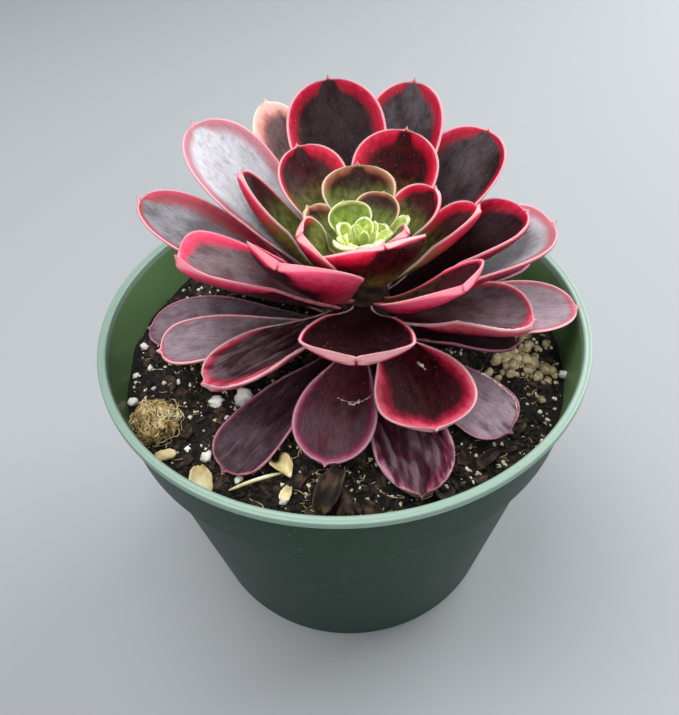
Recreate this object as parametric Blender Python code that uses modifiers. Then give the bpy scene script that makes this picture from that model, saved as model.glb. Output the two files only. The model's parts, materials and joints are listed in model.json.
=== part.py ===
"""Potted aeonium: a rosette succulent in a tapered nursery pot.

Metres, +Z up. The origin is the middle of the pot's flat base, where it meets
the surface. -Y is the front of the plant. Sizes below are in millimetres and
pass through MM.
"""
import math
from collections import namedtuple

import bmesh
import bpy
from mathutils import Matrix, Vector

MM = 0.001
GAP = 0.3            # clearance between pieces that rest on one another

# Pot
POT_HEIGHT = 82.5
RIM_RADIUS = 57.0
RIM_BEAD = 1.8       # height of the rolled bead around the rim
RIM_WIDTH = 1.9      # width of the bead, which stands proud of the wall on both sides
RIM_ROUND = 0.5      # rounding of the bead's corners
COLLAR_TOP_RADIUS = 56.0
COLLAR_FOOT_RADIUS = 54.2
COLLAR_FOOT = 64.6   # height where the collar steps in to the body
BODY_TOP_RADIUS = 52.1
BODY_TOP = 63.5
BASE_RADIUS = 42.3
BASE_EDGE = 1.4      # rounding of the bottom edge
BASE_HEEL = 0.4      # height on the bottom edge where its rounding is steepest
STEP_INSIDE = 62.5   # height where the wall turns out to the collar on the inside
STEP_ROUND = 0.6     # height over which the collar's foot turns in
WALL = 1.2
FLOOR = 1.4
TURN_STEPS = 64
HOLE_COUNT = 8
HOLE_RADIUS = 4.0
HOLE_RING = 32.0
HOLE_SIDES = 16

# Soil
SOIL_TOP = 69.6
SOIL_EDGE_DROP = 0.8
SOIL_FLAT_RADIUS = 34.0
SOIL_BROW = (48.0, 0.2)   # radius where the top starts to fall away, and the fall there
SOCKET_DEPTH = 10.0
SOCKET_PLAY = 0.9
SOCKET_SIDES = 24

# Stem, a short trunk that leans a little to the front
STEM_FOOT = Vector((6.0, 2.0, 60.5))   # the axis passes through here
STEM_TOP = Vector((4.5, -3.0, 101.0))
STEM_RADIUS = 6.0
CROWN_START = 88.0   # height where the stem starts to narrow to its crown
CROWN_SLOPE = 0.22
STEM_SIDES = 12

# Leaf form, shared by every leaf
STATIONS = (0.0, 0.08, 0.2, 0.35, 0.5, 0.64, 0.76, 0.86, 0.93, 0.98)
TOP_ACROSS = (-1.0, -0.55, 0.0, 0.55, 1.0)
UNDER_ACROSS = (0.6, 0.0, -0.6)
MIDRIB_STEPS = 40
ROLL_DONE = 0.4      # a roll builds up over this share of the length
THICK_DONE = 0.4     # so does the blade's full thickness
THIN_END = 0.15      # how early the blade thins towards its tip
CUP_MIDDLE = 1.15    # the channel is deepest in the middle of the blade
CUP_FADE = 1.1       # and fades towards both ends
CUP_LEAST = 0.3
MARGIN = 0.25        # thickness left at the margin

# One tier of leaves: name, neck width, neck and blade thickness, colour
Tier = namedtuple("Tier", "name neck neck_thick thick colour roughness")
TIERS = {
    "bud": Tier("bud_leaf", 1.8, 0.7, 0.8, (0.30, 0.42, 0.10), 0.45),
    "inner": Tier("inner_leaf", 3.2, 1.0, 1.3, (0.16, 0.03, 0.05), 0.40),
    "upper": Tier("upper_leaf", 4.0, 1.3, 1.8, (0.06, 0.012, 0.025), 0.42),
    "lower": Tier("lower_leaf", 4.0, 1.3, 1.8, (0.05, 0.012, 0.022), 0.45),
    "old": Tier("old_leaf", 4.0, 1.3, 1.6, (0.08, 0.04, 0.055), 0.60),
}

# Leaves, from the crown down. Azimuth turns from +X towards +Y; height is
# where the neck meets the stem; rise is the midrib's mean slope; curl is how
# much steeper than that it leaves the stem; sweep bends it sideways; cup is
# the half angle of its channel and roll turns the blade about its midrib. The
# blade is broadest at the share "widest" of its length; the higher its power
# above 2, the blunter its end.
Leaf = namedtuple("Leaf", "tier azimuth height length rise curl width cup roll sweep "
                  "widest power", defaults=(0.7, 2.3))
LEAVES = [
    Leaf("bud", 113, 100.8, 10.2, 57, -12, 11.3, 60, 0, 0, 0.6, 2.6),
    Leaf("bud", 78, 101.8, 5.8, 73, -12, 4.6, 60, 0, 0, 0.6, 2.4),
    Leaf("bud", 33, 101, 6, 60, -14, 5.3, 60, 0, 0, 0.6, 2.4),
    Leaf("bud", 152, 101.3, 6.4, 75, -12, 4.8, 60, 0, 0, 0.6, 2.4),
    Leaf("bud", 230, 100.5, 8, 64, -10, 7, 50, 0, 0),
    Leaf("bud", 290, 101.0, 8, 66, -10, 7, 50, 0, 0),
    Leaf("bud", 63, 99.8, 13, 50.5, -12, 11.4, 55, 0, 0, 0.62, 2.6),
    Leaf("bud", 18, 99.5, 11, 52, -12, 4.5, 50, 0, 0, 0.6, 2.4),
    Leaf("inner", 121, 95.5, 29, 42, -12, 17, 38, 0, 0),
    Leaf("inner", 63, 94.5, 30.5, 51, -12, 20.5, 35, 0, 0),
    Leaf("inner", 90, 98.5, 19.5, 47, -12, 17, 45, 0, 0),
    Leaf("inner", 26.5, 97, 20, 47, -14, 13.4, 58, 4, 0, 0.66, 2.4),
    Leaf("inner", 153, 93, 33, 42, -32, 14, 58, 24, 0, 0.5, 2.2),
    Leaf("inner", 18, 92, 26, 33, -14, 13, 60, -14, 0, 0.7, 2.4),
    Leaf("inner", 145, 98.6, 13.8, 45, -12, 9.4, 50, 0, 0, 0.66, 2.4),
    Leaf("inner", 214, 97, 18.5, 56, -14, 15.5, 45, -20, 0, 0.66, 2.6),
    Leaf("inner", 286, 98.5, 18.5, 56, -45, 25, 58, 0, 0, 0.62, 2.6),
    Leaf("inner", 229, 91.5, 29, 48, -14, 26.5, 42, 8, 0, 0.72, 3.0),
    Leaf("inner", 330, 99.8, 12, 60, -10, 8.2, 50, 0, 0),
    Leaf("inner", 308, 90.5, 29, 39, -13, 23.5, 36, -3, 0, 0.72, 2.6),
    Leaf("upper", 146, 88.5, 49, 39, -8, 22.5, 30, 0, 0, 0.7, 2.5),
    Leaf("upper", 119, 85.5, 49.5, 40, -8, 15, 30, 0, 0),
    Leaf("upper", 99, 92.5, 45.5, 41, -8, 23.5, 35, 0, 0),
    Leaf("upper", 70, 90.0, 47, 41, -8, 20, 35, -5, 0),
    Leaf("upper", 44, 88.5, 44, 32.8, -8, 20.3, 48, 8, 0, 0.7, 2.6),
    Leaf("upper", 14, 86.3, 36, 28.2, -7, 19.4, 50, -6, 0, 0.74, 2.6),
    Leaf("upper", 9, 83.5, 41, 25.7, -7, 21, 45, 0, 0, 0.74, 3.4),
    Leaf("upper", 167, 83.0, 51, 30, -5, 19.5, 30, 0, 0),
    Leaf("upper", 192, 87.3, 38, 31.5, -5, 20, 52, 4, 0, 0.78, 3.2),
    Leaf("upper", 158, 80.5, 40, 22, -5, 16, 35, 0, 0),
    Leaf("upper", 265, 90.0, 27.5, 22, 0, 22, 38, 0, 0, 0.88, 5.0),
    Leaf("lower", 70, 84.0, 43, 22, -4, 21, 40, 0, 0),
    Leaf("lower", 100, 82.0, 43, 20, -4, 21, 40, 0, 0),
    Leaf("lower", 130, 83.0, 44, 22, -4, 18, 40, 0, 0),
    Leaf("lower", 42, 82.0, 38, 14, -4, 20, 40, 0, 0),
    Leaf("lower", 345, 82.0, 32.5, 9, 0, 21, 55, -6, 0),
    Leaf("lower", 357, 80.0, 43, 5, 0, 18, 25, 0, 0),
    Leaf("lower", 290, 81.5, 29.5, -5, 5, 22, 30, 0, -20, 0.74, 2.6),
    Leaf("lower", 255, 79.0, 33.3, -7, 5, 18, 35, 0, 0, 0.72, 2.1),
    Leaf("lower", 212, 86.1, 35, -3.2, -6, 15.2, 38, 6, 0, 0.66, 2.6),
    Leaf("lower", 192, 79.5, 42, 3.8, 0, 14.8, 40, 0, 0, 0.78, 3.0),
    Leaf("old", 176, 78, 47, -1.5, 0, 18, 35, 0, 0, 0.74, 2.6),
    Leaf("old", 28, 78.5, 42, 5, 0, 18, 40, 0, 0),
    Leaf("old", 56, 79.5, 44, 5, 0, 20, 40, 0, 0),
    Leaf("old", 84, 78.0, 44, 2, 0, 20, 40, 0, 0),
    Leaf("old", 112, 79.5, 44, 4, 0, 20, 40, 0, 0),
    Leaf("old", 140, 78.0, 45, 4, 0, 19, 40, 0, 0),
    Leaf("old", 349, 76.6, 30, 1, 3, 11, 35, 0, 0),
    Leaf("old", 314, 75, 36.3, -3, 6, 16, 30, 0, 0, 0.76, 3.2),
    Leaf("old", 229, 75.5, 42.5, -5, 5, 14.5, 35, 0, 0, 0.8, 2.8),
    Leaf("old", 280, 73.8, 40.5, -2, 5, 17, 30, 0, -16),
]

# Loose pieces on the soil: name, middle (x, y), size, turn, colour
Chip = namedtuple("Chip", "name x y length width height turn colour")
CHIPS = [
    Chip("perlite_chip_1", -23.0, -16.0, 5.6, 4.6, 4.0, 20, (0.75, 0.72, 0.62)),
    Chip("perlite_chip_2", -30.0, -15.5, 3.2, 3.0, 2.6, 70, (0.75, 0.72, 0.62)),
    Chip("pumice_chip_1", 49.0, -9.0, 4.0, 3.4, 3.0, 40, (0.45, 0.38, 0.26)),
    Chip("seed_husk", -31.0, -37.0, 4.2, 3.6, 1.6, 15, (0.72, 0.65, 0.38)),
]


def fresh_collection(name):
    collection = bpy.data.collections.new(name)
    bpy.context.scene.collection.children.link(collection)
    return collection


def plain_material(name, colour, roughness):
    material = bpy.data.materials.new(name)
    material.use_nodes = True
    shader = material.node_tree.nodes["Principled BSDF"]
    shader.inputs["Base Color"].default_value = (*colour, 1.0)
    shader.inputs["Roughness"].default_value = roughness
    shader.inputs["Metallic"].default_value = 0.0
    return material


def mesh_object(name, bm, collection, material):
    mesh = bpy.data.meshes.new(name)
    bm.to_mesh(mesh)
    bm.free()
    mesh.materials.append(material)
    mesh.shade_smooth()
    obj = bpy.data.objects.new(name, mesh)
    collection.objects.link(obj)
    return obj


def turned(name, profile, collection, material):
    """A profile of (radius, height) pairs turned about Z."""
    bm = bmesh.new()
    points = [bm.verts.new((radius * MM, 0.0, height * MM)) for radius, height in profile]
    for start, end in zip(points, points[1:]):
        bm.edges.new((start, end))
    obj = mesh_object(name, bm, collection, material)
    screw = obj.modifiers.new("turn", "SCREW")
    screw.steps = TURN_STEPS
    screw.render_steps = TURN_STEPS
    screw.use_merge_vertices = True
    screw.merge_threshold = 0.00001
    return obj


def cut(obj, cutter):
    boolean = obj.modifiers.new("cut_" + cutter.name, "BOOLEAN")
    boolean.operation = "DIFFERENCE"
    boolean.solver = "EXACT"
    boolean.object = cutter


def body_radius(height):
    """Outer radius of the tapered body of the pot."""
    return BASE_RADIUS + (BODY_TOP_RADIUS - BASE_RADIUS) * height / BODY_TOP


def collar_radius(height):
    """Outer radius of the collar above the step."""
    climbed = (height - COLLAR_FOOT) / (POT_HEIGHT - RIM_BEAD - COLLAR_FOOT)
    return COLLAR_FOOT_RADIUS + (COLLAR_TOP_RADIUS - COLLAR_FOOT_RADIUS) * climbed


def pot_inside(height):
    """Radius of the pot's inner face, up the body and then up the collar."""
    if height < BODY_TOP:
        return body_radius(height) - WALL
    return collar_radius(max(height, COLLAR_FOOT)) - WALL


def drain_holes(cutters):
    """Eight short cylinders around the floor, joined in one cutter."""
    bm = bmesh.new()
    for index in range(HOLE_COUNT):
        angle = 2 * math.pi * (index + 0.5) / HOLE_COUNT
        place = Vector((HOLE_RING * math.cos(angle), HOLE_RING * math.sin(angle), FLOOR / 2))
        bmesh.ops.create_cone(
            bm, cap_ends=True, segments=HOLE_SIDES, radius1=HOLE_RADIUS * MM,
            radius2=HOLE_RADIUS * MM, depth=3 * FLOOR * MM,
            matrix=Matrix.Translation(place * MM))
    return cutter_object("drain_hole_cutter", bm, cutters)


def cutter_object(name, bm, cutters):
    obj = mesh_object(name, bm, cutters, plain_material(name, (0.5, 0.5, 0.5), 0.5))
    obj.hide_render = True
    obj.display_type = "WIRE"
    return obj


def make_pot(parts, cutters):
    """Floor, inner wall, rolled rim, collar, step, body and base in one turn."""
    bead_foot = POT_HEIGHT - RIM_BEAD
    inner_rim = RIM_RADIUS - RIM_WIDTH
    profile = [
        (0.0, FLOOR),
        (body_radius(FLOOR) - WALL, FLOOR),
        (pot_inside(STEP_INSIDE), STEP_INSIDE),
        (pot_inside(COLLAR_FOOT), COLLAR_FOOT),
        (pot_inside(bead_foot), bead_foot),
        (inner_rim, POT_HEIGHT - RIM_ROUND),
        (inner_rim + RIM_ROUND, POT_HEIGHT),
        (RIM_RADIUS - RIM_ROUND, POT_HEIGHT),
        (RIM_RADIUS, POT_HEIGHT - RIM_ROUND),
        (RIM_RADIUS, bead_foot + RIM_ROUND),
        (COLLAR_TOP_RADIUS, bead_foot),
        (COLLAR_FOOT_RADIUS, COLLAR_FOOT),
        (COLLAR_FOOT_RADIUS - STEP_ROUND, COLLAR_FOOT - STEP_ROUND),
        (BODY_TOP_RADIUS, BODY_TOP),
        (body_radius(BASE_EDGE), BASE_EDGE),
        (BASE_RADIUS - BASE_HEEL, BASE_HEEL),
        (BASE_RADIUS - BASE_EDGE, 0.0),
        (0.0, 0.0),
    ]
    green = plain_material("green polypropylene", (0.045, 0.13, 0.085), 0.45)
    pot = turned("pot", profile, parts, green)
    cut(pot, drain_holes(cutters))
    return pot


def stem_axis(height):
    """Middle of the stem at a height."""
    climbed = (height - STEM_FOOT.z) / (STEM_TOP.z - STEM_FOOT.z)
    return STEM_FOOT.lerp(STEM_TOP, climbed)


def stem_radius(height):
    return STEM_RADIUS - max(0.0, height - CROWN_START) * CROWN_SLOPE


def make_soil(parts, cutters):
    """The potting mix, a plug that stops short of the wall, with the stem's socket."""
    foot = FLOOR + GAP
    shoulder = SOIL_TOP - SOIL_EDGE_DROP
    profile = [
        (0.0, SOIL_TOP),
        (SOIL_FLAT_RADIUS, SOIL_TOP),
        (SOIL_BROW[0], SOIL_TOP - SOIL_BROW[1]),
        (pot_inside(shoulder) - GAP, shoulder),
        (pot_inside(COLLAR_FOOT) - GAP, COLLAR_FOOT),
        (pot_inside(STEP_INSIDE) - GAP, STEP_INSIDE - GAP),
        (pot_inside(foot) - GAP, foot),
        (0.0, foot),
    ]
    mix = plain_material("potting mix", (0.022, 0.014, 0.010), 0.95)
    soil = turned("soil", profile, parts, mix)
    bm = bmesh.new()
    middle = stem_axis(SOIL_TOP)
    lean = (STEM_TOP - STEM_FOOT).to_track_quat("Z", "Y").to_matrix().to_4x4()
    bmesh.ops.create_cone(
        bm, cap_ends=True, segments=SOCKET_SIDES, radius1=(STEM_RADIUS + SOCKET_PLAY) * MM,
        radius2=(STEM_RADIUS + SOCKET_PLAY) * MM, depth=2 * SOCKET_DEPTH * MM,
        matrix=Matrix.Translation(middle * MM) @ lean)
    cut(soil, cutter_object("stem_socket_cutter", bm, cutters))
    return soil


def make_stem(parts):
    """A leaning tube whose radius narrows to the crown."""
    curve = bpy.data.curves.new("stem", "CURVE")
    curve.dimensions = "3D"
    curve.bevel_depth = STEM_RADIUS * MM
    curve.bevel_resolution = STEM_SIDES // 4 - 1
    curve.use_fill_caps = True
    heights = (SOIL_TOP - SOCKET_DEPTH + 2 * GAP, CROWN_START, STEM_TOP.z)
    spline = curve.splines.new("POLY")
    spline.points.add(len(heights) - 1)
    for point, height in zip(spline.points, heights):
        point.co = (*(stem_axis(height) * MM), 1.0)
        point.radius = stem_radius(height) / STEM_RADIUS
    curve.materials.append(plain_material("leafy stem", (0.10, 0.085, 0.03), 0.6))
    stem = bpy.data.objects.new("stem", curve)
    parts.objects.link(stem)
    return stem


def smooth_step(value):
    value = min(1.0, max(0.0, value))
    return value * value * (3.0 - 2.0 * value)


def half_width(leaf, along):
    """Half the blade's width: a narrow neck, a broad blade, a blunt round end."""
    neck = TIERS[leaf.tier].neck
    width = neck + (leaf.width - neck) * smooth_step(along / leaf.widest)
    past = max(0.0, along - leaf.widest) / (1.0 - leaf.widest)
    return 0.5 * width * math.sqrt(max(0.0, 1.0 - past ** leaf.power))


def heading(leaf, along):
    """Unit vectors along the midrib, across the blade and out of its upper face."""
    rise = math.radians(leaf.rise + leaf.curl * (1.0 - 2.0 * along))
    turn = math.radians(leaf.azimuth + leaf.sweep * (along - 0.5))
    forward = Vector((math.cos(rise) * math.cos(turn), math.cos(rise) * math.sin(turn),
                      math.sin(rise)))
    across = Vector((-math.sin(turn), math.cos(turn), 0.0))
    roll = math.radians(leaf.roll) * min(1.0, along / ROLL_DONE)
    across.rotate(Matrix.Rotation(roll, 3, forward))
    return forward, across, forward.cross(across)


def midrib(leaf):
    """Points along the midrib, from the neck to the tip."""
    turn = math.radians(leaf.azimuth - 0.5 * leaf.sweep)
    outward = Vector((math.cos(turn), math.sin(turn), 0.0))
    point = stem_axis(leaf.height) + (stem_radius(leaf.height) + GAP) * outward
    points = [point.copy()]
    step = leaf.length / MIDRIB_STEPS
    for index in range(MIDRIB_STEPS):
        point = point + heading(leaf, (index + 0.5) / MIDRIB_STEPS)[0] * step
        points.append(point.copy())
    return points


def on_midrib(points, along):
    place = along * MIDRIB_STEPS
    index = min(MIDRIB_STEPS - 1, int(place))
    return points[index].lerp(points[index + 1], place - index)


def leaf_section(leaf, points, along):
    """One closed cross-section: the upper face from edge to edge, then back under."""
    forward, across, up = heading(leaf, along)
    tier = TIERS[leaf.tier]
    half = half_width(leaf, along)
    cup = math.radians(leaf.cup) * max(CUP_LEAST, CUP_MIDDLE - CUP_FADE * abs(along - 0.5))
    bend = half / cup
    middle = on_midrib(points, along)
    thick = tier.neck_thick + (tier.thick - tier.neck_thick) * smooth_step(along / THICK_DONE)
    thick *= math.sqrt(half / (half + THIN_END * half_width(leaf, leaf.widest)))

    def place(side, depth):
        angle = cup * side
        return (middle + across * bend * math.sin(angle)
                + up * bend * (1.0 - math.cos(angle))
                - (up * math.cos(angle) - across * math.sin(angle)) * depth)

    ring = [place(side, 0.0) for side in TOP_ACROSS]
    ring += [place(side, MARGIN + thick * (1.0 - side * side)) for side in UNDER_ACROSS]
    return ring


def make_leaf(leaf, name, parts, material):
    """A fleshy leaf: sections lofted from the neck's end to one point at the tip."""
    points = midrib(leaf)
    bm = bmesh.new()
    rings = [[bm.verts.new(corner * MM) for corner in leaf_section(leaf, points, along)]
             for along in STATIONS]
    for ring, following in zip(rings, rings[1:]):
        count = len(ring)
        for index in range(count):
            after = (index + 1) % count
            bm.faces.new((ring[index], ring[after], following[after], following[index]))
    bm.faces.new(reversed(rings[0]))
    tip = bm.verts.new(points[-1] * MM)
    for index, corner in enumerate(rings[-1]):
        bm.faces.new((corner, rings[-1][(index + 1) % len(rings[-1])], tip))
    bmesh.ops.triangulate(bm, faces=bm.faces)
    bmesh.ops.recalc_face_normals(bm, faces=bm.faces)
    return mesh_object(name, bm, parts, material)


def make_leaves(parts):
    skins = {key: plain_material(tier.name + " skin", tier.colour, tier.roughness)
             for key, tier in TIERS.items()}
    counts = dict.fromkeys(TIERS, 0)
    for leaf in LEAVES:
        counts[leaf.tier] += 1
        name = f"{TIERS[leaf.tier].name}_{counts[leaf.tier]}"
        make_leaf(leaf, name, parts, skins[leaf.tier])


def make_chip(chip, parts):
    """A rounded grain that rests on the soil."""
    bm = bmesh.new()
    bmesh.ops.create_icosphere(bm, subdivisions=1, radius=0.5)
    size = Matrix.Diagonal((chip.length * MM, chip.width * MM, chip.height * MM, 1.0))
    turn = Matrix.Rotation(math.radians(chip.turn), 4, "Z")
    lift = SOIL_TOP + GAP + 0.5 * chip.height
    place = Matrix.Translation(Vector((chip.x, chip.y, lift)) * MM)
    bmesh.ops.transform(bm, matrix=place @ turn @ size, verts=bm.verts)
    mesh_object(chip.name, bm, parts, plain_material(chip.name, chip.colour, 0.9))


def main():
    for old in list(bpy.data.objects):
        bpy.data.objects.remove(old)
    parts = fresh_collection("potted_aeonium")
    cutters = fresh_collection("cutters")
    make_pot(parts, cutters)
    make_soil(parts, cutters)
    make_stem(parts)
    make_leaves(parts)
    for chip in CHIPS:
        make_chip(chip, parts)


main()
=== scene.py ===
"""Potted aeonium: the finish of a dark rosette succulent in its green nursery pot.

Lengths are in millimetres and pass through MM. +Z is up, and -Y is the front of the plant.
"""
import json
import math
import random
from collections import namedtuple

import bmesh
import bpy
import numpy as np
from mathutils import Matrix, Vector, noise

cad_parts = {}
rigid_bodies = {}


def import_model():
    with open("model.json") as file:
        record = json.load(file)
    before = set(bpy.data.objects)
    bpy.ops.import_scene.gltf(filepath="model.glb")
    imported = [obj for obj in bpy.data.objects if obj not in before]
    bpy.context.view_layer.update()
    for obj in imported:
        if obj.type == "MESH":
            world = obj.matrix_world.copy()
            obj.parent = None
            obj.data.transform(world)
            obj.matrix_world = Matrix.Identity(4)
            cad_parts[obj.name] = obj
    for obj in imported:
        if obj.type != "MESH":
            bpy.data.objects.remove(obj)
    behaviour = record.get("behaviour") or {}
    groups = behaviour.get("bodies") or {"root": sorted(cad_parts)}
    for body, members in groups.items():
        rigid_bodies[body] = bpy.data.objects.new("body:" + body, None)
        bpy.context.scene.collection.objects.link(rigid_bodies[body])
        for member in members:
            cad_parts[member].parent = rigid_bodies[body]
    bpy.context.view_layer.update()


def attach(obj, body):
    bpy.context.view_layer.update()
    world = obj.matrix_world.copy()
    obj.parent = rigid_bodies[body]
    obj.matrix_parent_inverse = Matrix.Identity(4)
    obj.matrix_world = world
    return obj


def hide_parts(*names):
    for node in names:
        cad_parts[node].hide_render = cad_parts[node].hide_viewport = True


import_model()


# ---- Pot -----------------------------------------------------------------------------------
# A thin nursery pot, injection moulded in green polypropylene. A rolled bead stiffens the rim,
# the step under the collar lets pots stack, and eight holes in the floor let water out.
MM = 0.001
POT_HEIGHT = 82.5
RIM_RADIUS = 57.0
RIM_BEAD = 1.8
RIM_WIDTH = 1.9
RIM_DIP = 0.12          # the hollow line along the middle of the rim
COLLAR_TOP_RADIUS = 56.0
COLLAR_FOOT_RADIUS = 54.2
COLLAR_FOOT = 64.6
BODY_TOP_RADIUS = 52.1
BODY_TOP = 63.5
STEP_INSIDE = 62.5
BASE_RADIUS = 42.3
WALL = 1.2
FLOOR = 1.4
POT_SIDES = 256
HOLE_COUNT = 8
HOLE_RADIUS = 4.0
HOLE_RING = 32.0
HOLE_SIDES = 40


def linear(hex_colour):
    """An sRGB hex colour as the linear colour that a socket takes."""
    parts = [int(hex_colour[place:place + 2], 16) / 255 for place in (0, 2, 4)]
    return (*[part / 12.92 if part <= 0.04045 else ((part + 0.055) / 1.055) ** 2.4
              for part in parts], 1.0)


def wire(tree, node, inputs):
    """Give sockets a plain value, a hex colour, a link, or the first output of another node."""
    for name, value in inputs.items():
        socket = node.inputs[name]
        if isinstance(value, bpy.types.Node):
            value = value.outputs[0]
        if isinstance(value, bpy.types.NodeSocket):
            tree.links.new(value, socket)
        else:
            socket.default_value = linear(value) if socket.type == "RGBA" else value


def add(tree, kind, inputs={}, stops=(), **settings):
    """Add a node with its settings and what its sockets take; stops are a ramp's colours."""
    made = tree.nodes.new(kind)
    for name, value in settings.items():
        setattr(made, name, value)
    wire(tree, made, inputs)
    for index, (position, colour) in enumerate(stops):
        ramp = made.color_ramp.elements
        stop = ramp[index] if index < 2 else ramp.new(position)
        stop.position = position
        stop.color = linear(colour)
    return made


def new_material(name):
    """A named material, its node tree and its Principled shader."""
    material = bpy.data.materials.new(name)
    material.use_nodes = True
    tree = material.node_tree
    return material, tree, tree.nodes["Principled BSDF"]


def shown(name, data):
    """A new object in the scene with the given mesh, light or camera."""
    made = bpy.data.objects.new(name, data)
    bpy.context.scene.collection.objects.link(made)
    return made


def finished(name, mesh, material, slot, *nodes):
    """A smooth piece that rides on the plant's one body and stands for its CAD nodes."""
    mesh.name = name
    if material:
        mesh.materials.clear()
        mesh.materials.append(material)
    mesh.shade_smooth()
    piece = shown(name, mesh)
    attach(piece, "root")
    if nodes:
        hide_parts(*nodes)
    return piece


def polar(radius, angle, height=0.0):
    """The point at a radius and an angle about Z."""
    return Vector((radius * math.cos(angle), radius * math.sin(angle), height))


def around(count, start=0.0):
    """Equal angles round a circle."""
    return [2 * math.pi * (side + start) / count for side in range(count)]


def mesh_of(bm):
    """The finished mesh of a bmesh worked in millimetres, faces pointing out."""
    bmesh.ops.scale(bm, vec=(MM, MM, MM), verts=bm.verts)
    bmesh.ops.recalc_face_normals(bm, faces=bm.faces)
    mesh = bpy.data.meshes.new("mesh")
    bm.to_mesh(mesh)
    bm.free()
    return mesh


def rounded(corners, steps=5):
    """A profile through (radius, height, rounding) corners, each rounding drawn as an arc."""
    points = []
    for index, (radius, height, rounding) in enumerate(corners):
        corner = Vector((radius, height))
        if not rounding:
            points.append(corner)
            continue
        before = (Vector(corners[index - 1][:2]) - corner).normalized() * rounding
        after = (Vector(corners[index + 1][:2]) - corner).normalized() * rounding
        for step in range(steps + 1):
            share = step / steps
            points.append(corner + before * (1 - share) ** 2 + after * share ** 2)
    return points


def bridge(bm, rings, capped=True):
    """Join each ring of corners to the next; a ring may be one corner repeated."""
    for ring, following in zip(rings, rings[1:]):
        for side in range(len(ring)):
            after = (side + 1) % len(ring)
            corners = (ring[side], ring[after], following[after], following[side])
            bm.faces.new(list(dict.fromkeys(corners)))
    if capped:
        bm.faces.new(reversed(rings[0]))
        bm.faces.new(rings[-1])


def turned(profile, sides):
    """A profile from axis to axis turned about Z, as a bmesh in millimetres."""
    bm = bmesh.new()
    rings = []
    for radius, height in profile:
        if radius == 0.0:
            rings.append([bm.verts.new((0.0, 0.0, height))] * sides)
        else:
            rings.append([bm.verts.new(polar(radius, angle, height)) for angle in around(sides)])
    bridge(bm, rings, capped=False)
    return bm


def collar_radius(height):
    """Outer radius of the collar above the step."""
    climbed = (height - COLLAR_FOOT) / (POT_HEIGHT - RIM_BEAD - COLLAR_FOOT)
    return COLLAR_FOOT_RADIUS + (COLLAR_TOP_RADIUS - COLLAR_FOOT_RADIUS) * climbed


def body_radius(height):
    """Outer radius of the tapered body below the step."""
    return BASE_RADIUS + (BODY_TOP_RADIUS - BASE_RADIUS) * height / BODY_TOP


def pot_wall():
    """The wall's profile: up the inner face, over the rolled rim and down the outer face."""
    bead_foot = POT_HEIGHT - RIM_BEAD
    return rounded([
        (0.0, FLOOR, 0),
        (body_radius(FLOOR) - WALL, FLOOR, 1.0),
        (body_radius(STEP_INSIDE) - WALL, STEP_INSIDE, 0.6),
        (collar_radius(COLLAR_FOOT) - WALL, COLLAR_FOOT, 0.6),
        (collar_radius(bead_foot) - WALL, bead_foot, 0.3),
        (RIM_RADIUS - RIM_WIDTH, POT_HEIGHT, 0.55),
        (RIM_RADIUS - 0.5 * RIM_WIDTH, POT_HEIGHT - RIM_DIP, 0.3),
        (RIM_RADIUS, POT_HEIGHT, 0.55),
        (RIM_RADIUS, bead_foot, 0.45),
        (COLLAR_TOP_RADIUS, bead_foot, 0.3),
        (COLLAR_FOOT_RADIUS, COLLAR_FOOT, 0.7),
        (BODY_TOP_RADIUS, BODY_TOP, 0.6),
        (BASE_RADIUS, 0.0, 1.4),
        (0.0, 0.0, 0),
    ])


def applied(base):
    """The plain mesh that an object's modifier makes; the object itself is dropped."""
    evaluated = base.evaluated_get(bpy.context.evaluated_depsgraph_get())
    mesh = bpy.data.meshes.new_from_object(evaluated)
    bpy.data.objects.remove(base)
    return mesh


def drained(pot_mesh):
    """The pot's mesh with a ring of round holes cut through the floor."""
    bm = bmesh.new()
    for angle in around(HOLE_COUNT, start=0.5):
        bmesh.ops.create_cone(bm, cap_ends=True, segments=HOLE_SIDES, radius1=HOLE_RADIUS,
                              radius2=HOLE_RADIUS, depth=3 * FLOOR,
                              matrix=Matrix.Translation(polar(HOLE_RING, angle, FLOOR / 2)))
    drill = shown("drill", mesh_of(bm))
    blank = shown("blank", pot_mesh)
    cut = blank.modifiers.new("holes", "BOOLEAN")
    cut.operation = "DIFFERENCE"
    cut.object = drill
    mesh = applied(blank)
    bpy.data.objects.remove(drill)
    return mesh


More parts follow.
